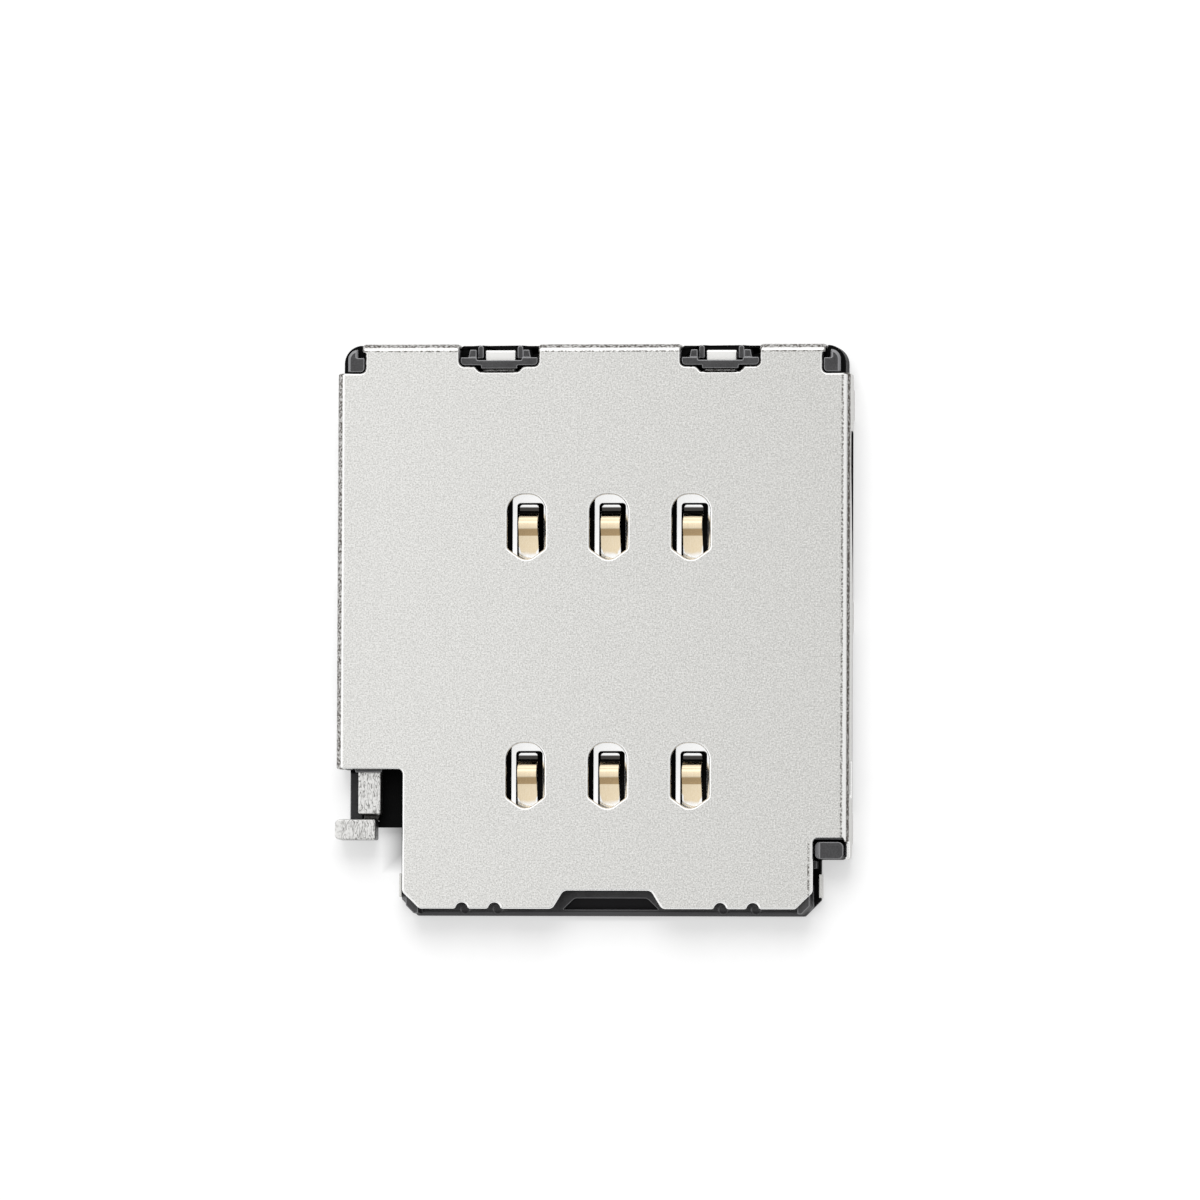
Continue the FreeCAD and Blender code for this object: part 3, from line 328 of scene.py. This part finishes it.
def mix_colour(tree, factor, first, second):
    """Blend from the first colour to the second."""
    inputs = {0: factor, 6: first, 7: second}
    return node_in(tree, "ShaderNodeMix", inputs, data_type="RGBA").outputs[2]


def math_node(tree, operation, first, second=0.0):
    """Sum, difference or like of two values."""
    return node_in(tree, "ShaderNodeMath", {0: first, 1: second}, operation=operation).outputs[0]


def add(tree, first, second):
    """Two values together."""
    return math_node(tree, "ADD", first, second)


def subtract(tree, first, second):
    """The first value less the second."""
    return math_node(tree, "SUBTRACT", first, second)


def product(tree, first, second):
    """Only where both masks are, or a value times another."""
    return math_node(tree, "MULTIPLY", first, second)


def larger(tree, first, second):
    """Where either mask is."""
    return math_node(tree, "MAXIMUM", first, second)


def unsigned(tree, value):
    """Distance from nought, whichever side it lies."""
    return math_node(tree, "ABSOLUTE", value)


def line_mask(tree, value, place, half):
    """Soft line where a coordinate passes a place, both in millimetres."""
    away = unsigned(tree, subtract(tree, value, place * MM))
    return past(tree, away, (half, half / 2))


def grain_group():
    """Fine speckle of a rolled, stamped or moulded surface, with slow clouds under it."""
    group = bpy.data.node_groups.new("surface_grain", "ShaderNodeTree")
    face = group.interface
    face.new_socket("Coordinates", in_out="INPUT", socket_type="NodeSocketVector")
    face.new_socket("Speckle Scale", in_out="INPUT", socket_type="NodeSocketFloat")
    face.new_socket("Cloud Scale", in_out="INPUT", socket_type="NodeSocketFloat")
    face.new_socket("Speckle", in_out="OUTPUT", socket_type="NodeSocketFloat")
    face.new_socket("Cloud", in_out="OUTPUT", socket_type="NodeSocketFloat")
    start = group.nodes.new("NodeGroupInput")
    end = group.nodes.new("NodeGroupOutput")
    speckle = node_in(group, "ShaderNodeTexNoise", {
        "Vector": start.outputs["Coordinates"],
        "Scale": start.outputs["Speckle Scale"],
        "Detail": 2.0,
        "Roughness": 0.6,
    })
    cloud = node_in(group, "ShaderNodeTexNoise", {
        "Vector": start.outputs["Coordinates"],
        "Scale": start.outputs["Cloud Scale"],
        "Detail": 3.0,
    })
    group.links.new(remap(group, speckle.outputs["Fac"], *NOISE_SPREAD), end.inputs["Speckle"])
    group.links.new(remap(group, cloud.outputs["Fac"], *NOISE_SPREAD), end.inputs["Cloud"])
    return group


def tilt_group():
    """How a surface lies: leaning as the first of a bend does, turned well over, or upright."""
    group = bpy.data.node_groups.new("surface_tilt", "ShaderNodeTree")
    for name in ("Bend", "Turned", "Upright"):
        group.interface.new_socket(name, in_out="OUTPUT", socket_type="NodeSocketFloat")
    end = group.nodes.new("NodeGroupOutput")
    x, y, z = split(group, group.nodes.new("ShaderNodeNewGeometry").outputs["Normal"])
    up = unsigned(group, z)
    left = product(group, math_node(group, "MINIMUM", x, 0.0), LEFT_SOONER)
    right = product(group, math_node(group, "MAXIMUM", x, 0.0), RIGHT_LATER)
    handed = subtract(group, add(group, up, add(group, left, right)), product(group, y, REAR_SOONER))
    group.links.new(remap(group, up, *TILT_BEND), end.inputs["Bend"])
    group.links.new(remap(group, handed, *TILT_TURNED), end.inputs["Turned"])
    group.links.new(remap(group, up, *TILT_UPRIGHT), end.inputs["Upright"])
    return group


def contact_group():
    """Places on any spring contact, from its own middle, and its face dished a little towards that middle."""
    group = bpy.data.node_groups.new("contact_places", "ShaderNodeTree")
    group.interface.new_socket("Coordinates", in_out="INPUT", socket_type="NodeSocketVector")
    group.interface.new_socket("Across", in_out="OUTPUT", socket_type="NodeSocketFloat")
    group.interface.new_socket("Along", in_out="OUTPUT", socket_type="NodeSocketFloat")
    group.interface.new_socket("Front Slope", in_out="OUTPUT", socket_type="NodeSocketFloat")
    group.interface.new_socket("Dished", in_out="OUTPUT", socket_type="NodeSocketVector")
    start = group.nodes.new("NodeGroupInput")
    end = group.nodes.new("NodeGroupOutput")
    x, y, z = split(group, start.outputs["Coordinates"])
    half = CONTACT_PITCH * MM / 2
    across = node_in(group, "ShaderNodeMath", {0: x, 1: half, 2: -half}, operation="WRAP").outputs[0]
    row = node_in(group, "ShaderNodeMath", {0: y, 1: CONTACT_ROWS * MM, 2: 0.0}, operation="WRAP").outputs[0]
    along = subtract(group, row, CONTACT_ROWS * MM / 2)
    crown = product(group, past(group, along, CROWN_START), past(group, along, CROWN_END))
    crown = product(group, crown, past(group, z, CROWN_HEIGHT))
    root_lean = product(group, math_node(group, "MINIMUM", along, 0.0), -CONTACT_DISH / MM)
    arch_lean = product(group, math_node(group, "MAXIMUM", along, 0.0), -ARCH_DISH / MM)
    crown_lean = product(group, crown, CROWN_ROUNDING)
    lean = node_in(group, "ShaderNodeCombineXYZ", {
        "X": product(group, across, -CONTACT_DISH / MM),
        "Y": subtract(group, add(group, root_lean, arch_lean), crown_lean),
    })
    normal = group.nodes.new("ShaderNodeNewGeometry").outputs["Normal"]
    leaned = node_in(group, "ShaderNodeVectorMath", {0: normal, 1: lean.outputs[0]}, operation="ADD")
    dished = node_in(group, "ShaderNodeVectorMath", {0: leaned.outputs[0]}, operation="NORMALIZE")
    facing = split(group, normal)[1]
    group.links.new(across, end.inputs["Across"])
    group.links.new(along, end.inputs["Along"])
    group.links.new(remap(group, facing, *FRONT_SLOPE), end.inputs["Front Slope"])
    group.links.new(dished.outputs[0], end.inputs["Dished"])
    return group


GRAIN = grain_group()
TILT = tilt_group()
CONTACT_PLACES = contact_group()


def grain_in(tree, coords, speckle, cloud):
    """The outputs of the grain group placed in a material, with spot sizes in millimetres."""
    inputs = {"Coordinates": coords, "Speckle Scale": 1 / (speckle * MM), "Cloud Scale": 1 / (cloud * MM)}
    return node_in(tree, "ShaderNodeGroup", inputs, node_tree=GRAIN).outputs


def tilt_in(tree):
    """The outputs of the tilt group placed in a material."""
    return node_in(tree, "ShaderNodeGroup", node_tree=TILT).outputs


def new_finish(name):
    """A material with its shader and the piece's own coordinates."""
    material = bpy.data.materials.new(name)
    material.use_nodes = True
    tree = material.node_tree
    shader = tree.nodes["Principled BSDF"]
    coords = node_in(tree, "ShaderNodeTexCoord").outputs["Object"]
    return material, tree, shader, coords


def add_bump(tree, shader, height, tooth, under=None):
    """Bump on a shader, over the piece's own normal or another under it."""
    strength, depth = tooth
    bump = node_in(tree, "ShaderNodeBump", {"Height": height, "Strength": strength, "Distance": depth * MM})
    if under:
        tree.links.new(under, bump.inputs["Normal"])
    tree.links.new(bump.outputs["Normal"], shader.inputs["Normal"])


def lug_strips(tree, x):
    """The two strips of the cover in which its hook lugs lie."""
    return line_mask(tree, unsigned(tree, x), LUG_CENTRE, LUG_HALF)


def bend_dark_lines(tree, coords, x, y):
    """Broken dark lines beside the bends, and one at the mouth's right edge."""
    mouth = product(tree, line_mask(tree, x, *MOUTH_DARK_LINE), past(tree, y, MOUTH_DARK_LINE_END))
    beside_lugs = subtract(tree, 1.0, lug_strips(tree, x))
    rear = product(tree, line_mask(tree, y, *REAR_DARK_LINE), beside_lugs)
    lines = larger(tree, larger(tree, line_mask(tree, x, *RIGHT_DARK_LINE), mouth), rear)
    return product(tree, lines, remap(tree, noise(tree, coords, DARK_LINE_SPOT), *DARK_LINE_SPREAD))


def fold_painted_reflection(tree, coords, turned):
    """Painted dark reflection: a spotted dark line high on the folds, where the sheet turns down; it is
    strongest on the right.
    """
    x, y, z = split(tree, coords)
    side_folds = larger(tree, past(tree, x, RIGHT_FOLD), past(tree, x, LEFT_FOLD))
    folds = larger(tree, side_folds, past(tree, y, REAR_FOLD))
    brow = product(tree, product(tree, turned, folds), past(tree, z, BROW_HEIGHT))
    spots = remap(tree, noise(tree, coords, BROW_SPOT, detail=1.0), *BROW_SPREAD, *BROW_DEPTH)
    return product(tree, brow, add(tree, spots, past(tree, x, BROW_SIDE, BROW_MORE, BROW_MORE_RIGHT)))


def cover_steel_finish():
    """Satin rolled steel with fine speckle, painted lighter to the left, a painted highlight on the rounded
    edges, and a painted dark reflection where a fold turns down.
    """
    material, tree, shader, coords = new_finish("cover_steel_finish")
    grain = grain_in(tree, coords, STEEL_SPECKLE, STEEL_CLOUD)
    tilt = tilt_in(tree)
    x, y = split(tree, coords)[:2]
    # Speckle with a painted light falloff, lighter to the left
    speckle_and_painted_falloff = add(tree, grain["Speckle"], past(tree, x, STEEL_FALLOFF_SIDES, STEEL_PAINTED_FALLOFF, -STEEL_PAINTED_FALLOFF))
    rolled = mix_colour(tree, speckle_and_painted_falloff, STEEL_DARK, STEEL_PALE)
    # The hook lugs in an even pale tone
    lugs = product(tree, lug_strips(tree, x), past(tree, y, LUG_START))
    pale_lugs = mix_colour(tree, lugs, rolled, STEEL_LUG)
    # Painted highlight on the rounded edges and bends
    painted_bend_highlight = mix_colour(tree, tilt["Bend"], pale_lugs, STEEL_BEND_HIGHLIGHT)
    sheared = mix_colour(tree, tilt["Upright"], painted_bend_highlight, STEEL_SHEARED)
    dark_lines = product(tree, bend_dark_lines(tree, coords, x, y), DARK_LINE_DEPTH)
    # Broken dark lines, and the painted dark reflection high on the folds
    dark_lines_and_painted_reflection = larger(tree, fold_painted_reflection(tree, coords, tilt["Turned"]), dark_lines)
    tree.links.new(mix_colour(tree, dark_lines_and_painted_reflection, sheared, STEEL_LINES_AND_PAINTED_REFLECTION), shader.inputs["Base Color"])
    satin = between(tree, grain["Speckle"], *STEEL_ROUGHNESS)
    clouded = add(tree, satin, between(tree, grain["Cloud"], -CLOUD_ROUGHNESS, CLOUD_ROUGHNESS))
    burnished = add(tree, clouded, between(tree, tilt["Bend"], 0.0, -BEND_POLISH))
    torn = add(tree, burnished, between(tree, tilt["Upright"], 0.0, SHEARED_ROUGHNESS))
    tree.links.new(torn, shader.inputs["Roughness"])
    shader.inputs["Metallic"].default_value = 1.0
    add_bump(tree, shader, grain["Speckle"], STEEL_TOOTH)
    return material


def housing_mouth(tree, x, y):
    """The part of the housing in front of the plate's edge, where the tray goes in."""
    return product(tree, past(tree, y, MOUTH_START), past(tree, x, MOUTH_RIGHT))


def housing_shown(tree, x, y, z, mouth):
    """Faces of the housing painted as open to the light: raised ones, the front lip and the strip by the rod.
    """
    corners = larger(tree, past(tree, x, PAD_RIGHT), past(tree, x, PAD_LEFT))
    round_pads = product(tree, corners, past(tree, y, PAD_FRONT))
    raised = past(tree, subtract(tree, z, product(tree, round_pads, PAD_HIGHER * MM)), RAISED_HEIGHT)
    lip = product(tree, mouth, past(tree, z, LIP_HEIGHT))
    front = product(tree, lip, past(tree, y, LIP_FRONT, 1.0, LIP_FRONT_SHEEN))
    strip = product(tree, past(tree, x, STRIP_RIGHT), past(tree, y, STRIP_REAR))
    return larger(tree, raised, larger(tree, front, product(tree, strip, STRIP_SHEEN)))


def housing_plastic_finish():
    """Black moulded plastic: a painted sheen on the faces open to the light, only a weak one on the sides,
    painted shade in the recesses, and a painted highlight along the lit edges.
    """
    material, tree, shader, coords = new_finish("housing_plastic_finish")
    grain = grain_in(tree, coords, PLASTIC_SPECKLE, PLASTIC_CLOUD)
    tilt = tilt_in(tree)
    x, y, z = split(tree, coords)
    mouth = housing_mouth(tree, x, y)
    shown = housing_shown(tree, x, y, z, mouth)
    sheen = product(tree, shown, between(tree, tilt["Upright"], 1.0, SIDE_SHEEN))
    dark = mix_colour(tree, grain["Speckle"], PLASTIC_DARK, PLASTIC_PALE)
    # Painted shade on faces away from the light, less dark in the tray mouth
    painted_shade = mix_colour(tree, mouth, PLASTIC_PAINTED_SHADE, PLASTIC_MOUTH)
    skin = mix_colour(tree, shown, painted_shade, dark)
    # Painted highlight along the rounded edges of the lit faces
    edges = product(tree, tilt["Bend"], sheen)
    upper = remap(tree, tilt["Upright"], *PLASTIC_EDGE_HIGHLIGHT_TILT, 1.0, 0.0)
    painted_edge_highlight = mix_colour(tree, product(tree, edges, upper), skin, PLASTIC_EDGE_HIGHLIGHT)
    tree.links.new(painted_edge_highlight, shader.inputs["Base Color"])
    tree.links.new(between(tree, grain["Cloud"], *PLASTIC_ROUGHNESS), shader.inputs["Roughness"])
    # Painted sheen: the coat lies only on the faces open to the light, weaker on their sides
    coat = product(tree, sheen, between(tree, grain["Cloud"], *COAT_WEIGHT))
    tree.links.new(coat, shader.inputs["Coat Weight"])
    shader.inputs["IOR"].default_value = PLASTIC_IOR
    shader.inputs["Coat IOR"].default_value = COAT_IOR
    shader.inputs["Coat Roughness"].default_value = COAT_ROUGHNESS
    add_bump(tree, shader, grain["Speckle"], PLASTIC_TOOTH)
    return material


def plated_patch(tree, height, across, along, wander):
    """Mask of the gold on the tongues, from the crown to a narrowing root, with a soft uneven edge."""
    squeeze = past(tree, along, ROOT_NARROWING, ROOT_SQUEEZE * MM, 0.0)
    aside = add(tree, unsigned(tree, across), squeeze)
    sides = past(tree, add(tree, aside, wander), GOLD_SIDES)
    root = past(tree, add(tree, along, wander), GOLD_ROOT)
    tip = past(tree, along, GOLD_TIP)
    raised = past(tree, height, GOLD_HEIGHT)
    return product(tree, product(tree, sides, root), product(tree, tip, raised))


def shaded_tip(tree, across, along):
    """Mask of painted shade on the tongue behind its crown, which slopes down into the dark."""
    behind = product(tree, past(tree, along, TIP_SHADE_START), past(tree, along, TIP_SHADE_END))
    return product(tree, behind, past(tree, unsigned(tree, across), TIP_SHADE_SIDES))


def contact_finish():
    """Stamped spring contact: bright tin on the frame and the feet, gold on the raised tongue, with painted
    shade on its front slope and behind its crown.
    """
    material, tree, shader, coords = new_finish("contact_finish")
    places = node_in(tree, "ShaderNodeGroup", {"Coordinates": coords}, node_tree=CONTACT_PLACES).outputs
    across, along = places["Across"], places["Along"]
    height = split(tree, coords)[2]
    lines = noise(tree, stretched(tree, coords, CONTACT_STRETCH), CONTACT_LINES, detail=3.0)
    grain = grain_in(tree, coords, CONTACT_SPECKLE, CONTACT_CLOUD)
    wander = product(tree, subtract(tree, grain["Cloud"], 0.5), GOLD_WANDER * MM)
    patch = plated_patch(tree, height, across, along, wander)
    pale_gold = mix_colour(tree, lines, GOLD_DEEP, GOLD_PALE)
    # Painted shade on the gold where the crown slopes to the front
    gold = mix_colour(tree, places["Front Slope"], pale_gold, GOLD_SLOPE_SHADE)
    tin = mix_colour(tree, grain["Speckle"], TIN_DARK, TIN_PALE)
    plated = mix_colour(tree, patch, tin, gold)
    # Painted shade on the tongue behind its crown
    tip_shaded = mix_colour(tree, shaded_tip(tree, across, along), plated, TIP_PAINTED_SHADE)
    tree.links.new(tip_shaded, shader.inputs["Base Color"])
    satin = remap(tree, lines, *NOISE_SPREAD, *PLATING_ROUGHNESS)
    tree.links.new(product(tree, satin, between(tree, patch, TIN_POLISH, 1.0)), shader.inputs["Roughness"])
    tree.links.new(between(tree, patch, TIN_METALLIC, 1.0), shader.inputs["Metallic"])
    add_bump(tree, shader, lines, PLATING_TOOTH, places["Dished"])
    return material


def rod_steel_finish():
    """Rough bright rod with fine wandering furrows, as from a coarse drawn or cast skin, and painted shade on
    its neck and sides.
    """
    material, tree, shader, coords = new_finish("rod_steel_finish")
    speckle = grain_in(tree, coords, ROD_SPECKLE, ROD_CLOUD)["Speckle"]
    upright = tilt_in(tree)["Upright"]
    x, y, z = split(tree, coords)
    field = noise(tree, stretched(tree, coords, FURROW_STRETCH, FURROW_SLANT), FURROW_SIZE, detail=1.5)
    waves = math_node(tree, "PINGPONG", product(tree, field, FURROW_TURNS), FURROW_FOLD)
    furrows = larger(tree, remap(tree, waves, *FURROW_EDGE), past(tree, x, HEAD_SMOOTH))
    worn = product(tree, furrows, remap(tree, speckle, *ROD_SPECKLE_SPREAD, *ROD_WEAR))
    steel = mix_colour(tree, worn, ROD_DARK, ROD_PALE)
    # Painted shade on the neck behind the head and on the upright sides
    neck = product(tree, line_mask(tree, y, *ROD_NECK), past(tree, z, NECK_HEIGHT))
    shaded = larger(tree, neck, product(tree, upright, ROD_SIDE_SHADE))
    tree.links.new(mix_colour(tree, shaded, steel, ROD_SHADE), shader.inputs["Base Color"])
    tree.links.new(between(tree, worn, *ROD_ROUGHNESS), shader.inputs["Roughness"])
    shader.inputs["Metallic"].default_value = 1.0
    add_bump(tree, shader, worn, ROD_TOOTH)
    return material


def spring_steel_finish():
    """Plain spring strip, brushed along its length."""
    material, tree, shader, coords = new_finish("spring_steel_finish")
    lines = noise(tree, stretched(tree, coords, SPRING_STRETCH), SPRING_LINES, detail=3.0)
    tree.links.new(mix_colour(tree, lines, SPRING_DARK, SPRING_PALE), shader.inputs["Base Color"])
    tree.links.new(remap(tree, lines, *NOISE_SPREAD, *SPRING_ROUGHNESS), shader.inputs["Roughness"])
    shader.inputs["Metallic"].default_value = 1.0
    add_bump(tree, shader, lines, SPRING_TOOTH)
    return material


def only(piece):
    """Deselect all, then select this piece and make it the active one."""
    bpy.ops.object.select_all(action="DESELECT")
    piece.select_set(True)
    bpy.context.view_layer.objects.active = piece


def bench_copy(node, name):
    """A copy of a solid, in millimetres, merged and with its flat faces made whole."""
    piece = bpy.data.objects.new(name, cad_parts[node].data.copy())
    bpy.context.scene.collection.objects.link(piece)
    piece.data.materials.clear()
    only(piece)
    piece.scale = (1 / MM, 1 / MM, 1 / MM)
    bpy.ops.object.transform_apply(location=False, rotation=False, scale=True)
    bpy.ops.object.mode_set(mode="EDIT")
    bpy.ops.mesh.select_all(action="SELECT")
    bpy.ops.mesh.remove_doubles(threshold=MERGE_DISTANCE)
    bpy.ops.mesh.dissolve_limited(angle_limit=math.radians(FLAT_ANGLE))
    bpy.ops.object.mode_set(mode="OBJECT")
    return piece


def round_edges(piece, edge):
    """Rounding along the sharp edges of a bench copy; corners thrown out come back to the old surface."""
    width, steps = edge
    surface = BVHTree.FromPolygons(
        [corner.co.copy() for corner in piece.data.vertices],
        [tuple(face.vertices) for face in piece.data.polygons],
    )
    bevel = piece.modifiers.new("rounded_edges", "BEVEL")
    bevel.limit_method = "ANGLE"
    bevel.angle_limit = math.radians(EDGE_ANGLE)
    bevel.width = width
    bevel.segments = steps
    bevel.use_clamp_overlap = False
    bevel.miter_outer = "MITER_ARC"
    bpy.ops.object.modifier_apply(modifier=bevel.name)
    for corner in piece.data.vertices:
        place, _, _, away = surface.find_nearest(corner.co)
        if away > STRAY * width:
            corner.co = place


def steady_normals(piece):
    """Smooth shading that leaves the wide flat faces flat."""
    bpy.ops.object.shade_smooth_by_angle(angle=math.radians(SMOOTH_ANGLE))
    weigh = piece.modifiers.new("flat_faces_lead", "WEIGHTED_NORMAL")
    weigh.mode = "FACE_AREA"
    weigh.weight = FLAT_LEAD
    weigh.keep_sharp = True
    bpy.ops.object.modifier_apply(modifier=weigh.name)


def back_to_metres(piece):
    """The bench copy at its real size."""
    only(piece)
    piece.scale = (MM, MM, MM)
    bpy.ops.object.transform_apply(location=False, rotation=False, scale=True)


def dress(node, name, edge, finish, body="reader"):
    """The piece that stands for a solid: its rounded copy with its finish, on its body."""
    piece = bench_copy(node, name)
    round_edges(piece, edge)
    steady_normals(piece)
    back_to_metres(piece)
    piece.data.materials.append(finish)
    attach(piece, body)
    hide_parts(node)


def make_part():
    """Every piece of the reader, dressed."""
    steel = cover_steel_finish()
    plastic = housing_plastic_finish()
    plated = contact_finish()
    rod = rod_steel_finish()
    spring = spring_steel_finish()
    dress("cover_shell", "cover", STEEL_EDGE, steel)
    dress("housing", "moulded_housing", MOULDED_EDGE, plastic)
    for node in CONTACTS:
        dress(node, node.replace("contact", "spring_contact"), STAMPED_EDGE, plated)
    dress("eject_rod", "push_rod", ROD_EDGE, rod, "rod")
    dress("eject_lever", "swing_lever", ROD_EDGE, rod, "lever")
    dress("tray_latch_spring", "latch_leaf", STAMPED_EDGE, spring)
    dress("detect_spring", "switch_leaf", STAMPED_EDGE, spring)
    dress("detect_terminal", "switch_blade", STAMPED_EDGE, spring)
    dress("hold_down_left", "solder_tab_left", STAMPED_EDGE, spring)
    dress("hold_down_right", "solder_tab_right", STAMPED_EDGE, spring)


def floor_finish():
    """Pale paper with a very faint tooth, lifted to white for what looks at it, and painted dark under the
    part as shade.
    """
    material, tree, shader, coords = new_finish("floor_finish")
    shader.inputs["Roughness"].default_value = PAPER_ROUGHNESS
    shader.inputs["Specular IOR Level"].default_value = 0.0
    x, y = split(tree, coords)[:2]
    low, high = cad_box
    aside = larger(tree, subtract(tree, low.x, x), subtract(tree, x, high.x))
    along = larger(tree, subtract(tree, low.y, y), subtract(tree, y, high.y))
    outside = past(tree, larger(tree, aside, along), FLOOR_UNDER)
    paper = mix_colour(tree, noise(tree, coords, PAPER_GRAIN, detail=3.0), PAPER_DARK, PAPER_PALE)
    # Painted shade under the part
    tree.links.new(mix_colour(tree, outside, FLOOR_PAINTED_SHADE, paper), shader.inputs["Base Color"])
    rays = node_in(tree, "ShaderNodeLightPath").outputs
    seen = larger(tree, rays["Is Camera Ray"], rays["Is Glossy Ray"])
    seen = larger(tree, seen, rays["Is Transmission Ray"])
    glow = product(tree, product(tree, outside, seen), FLOOR_GLOW)
    tree.links.new(glow, shader.inputs["Emission Strength"])
    shader.inputs["Emission Color"].default_value = (1, 1, 1, 1)
    return material


def make_floor():
    """Wide pale floor under the part."""
    bpy.ops.mesh.primitive_plane_add(size=FLOOR_WIDTH * MM, location=(0, 0, 0))
    floor = bpy.context.object
    floor.name = "studio_floor"
    floor.data.materials.append(floor_finish())


def make_world():
    """Even light, brighter to the rear left, with a dimmer front and a bright sheet at the rear."""
    world = bpy.data.worlds.new("studio")
    bpy.context.scene.world = world
    world.use_nodes = True
    tree = world.node_tree
    tree.nodes.clear()
    x, y, z = split(tree, node_in(tree, "ShaderNodeTexCoord").outputs["Generated"])
    ramp = node_in(tree, "ShaderNodeValToRGB", {"Fac": z})
    elements = ramp.color_ramp.elements
    while len(elements) < len(SKY_STOPS):
        elements.new(0.5)
    for element, (place, grey) in zip(elements, SKY_STOPS):
        element.position = place
        element.color = (grey, grey, grey, 1)
    level = remap(tree, subtract(tree, y, x), -1.0, 1.0, SKY_RIGHT_FRONT, SKY_LEFT_REAR)
    front = product(tree, remap(tree, y, *SKY_FRONT_START), remap(tree, z, *SKY_FRONT_HEIGHT))
    level = product(tree, level, between(tree, front, 1.0, SKY_FRONT))
    rear = product(tree, remap(tree, y, *SKY_SHEET_START), remap(tree, y, *SKY_SHEET_END))
    sheet = product(tree, rear, remap(tree, z, *SKY_SHEET_HEIGHT))
    level = product(tree, level, between(tree, sheet, 1.0, SKY_SHEET))
    background = node_in(tree, "ShaderNodeBackground", {"Color": ramp.outputs["Color"], "Strength": level})
    output = node_in(tree, "ShaderNodeOutputWorld")
    tree.links.new(background.outputs[0], output.inputs["Surface"])


def make_lamp():
    """Square soft lamp behind the part, turned to its middle, that leaves no glint in the metal."""
    data = bpy.data.lights.new("rear_key", "AREA")
    data.size = LAMP_SIZE * MM
    data.energy = LAMP_POWER
    lamp = bpy.data.objects.new("rear_key", data)
    bpy.context.scene.collection.objects.link(lamp)
    lamp.location = Vector(LAMP_PLACE) * MM
    lamp.rotation_euler = (Vector(LAMP_AIM) - Vector(LAMP_PLACE)).to_track_quat("-Z", "Y").to_euler()
    lamp.visible_glossy = False


def make_camera():
    """Camera above the cover with the photograph's lean and framing."""
    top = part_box("cover_shell")[1].z
    target = Vector((VIEW_CENTRE[0] * MM, VIEW_CENTRE[1] * MM, top))
    aside = math.tan(math.radians(VIEW_LEAN_RIGHT))
    forward = math.tan(math.radians(VIEW_LEAN_FRONT))
    lean = Vector((aside, -forward, 1.0)).normalized()
    level = Vector((1, 0, 0))
    right = (level - lean * level.dot(lean)).normalized()
    turn = Matrix((right, lean.cross(right), lean)).transposed()
    data = bpy.data.cameras.new("camera")
    data.sensor_width = SENSOR
    data.lens = SENSOR * VIEW_DISTANCE / VIEW_WIDTH
    data.clip_start = NEAR_CLIP * MM
    data.clip_end = FAR_CLIP * MM
    camera = bpy.data.objects.new("camera", data)
    bpy.context.scene.collection.objects.link(camera)
    camera.matrix_world = Matrix.Translation(target + lean * VIEW_DISTANCE * MM) @ turn.to_4x4()
    bpy.context.scene.camera = camera


def set_scene():
    """Floor, light and camera."""
    bpy.context.scene.view_settings.view_transform = "Standard"
    make_floor()
    make_world()
    make_lamp()
    make_camera()


make_part()
set_scene()
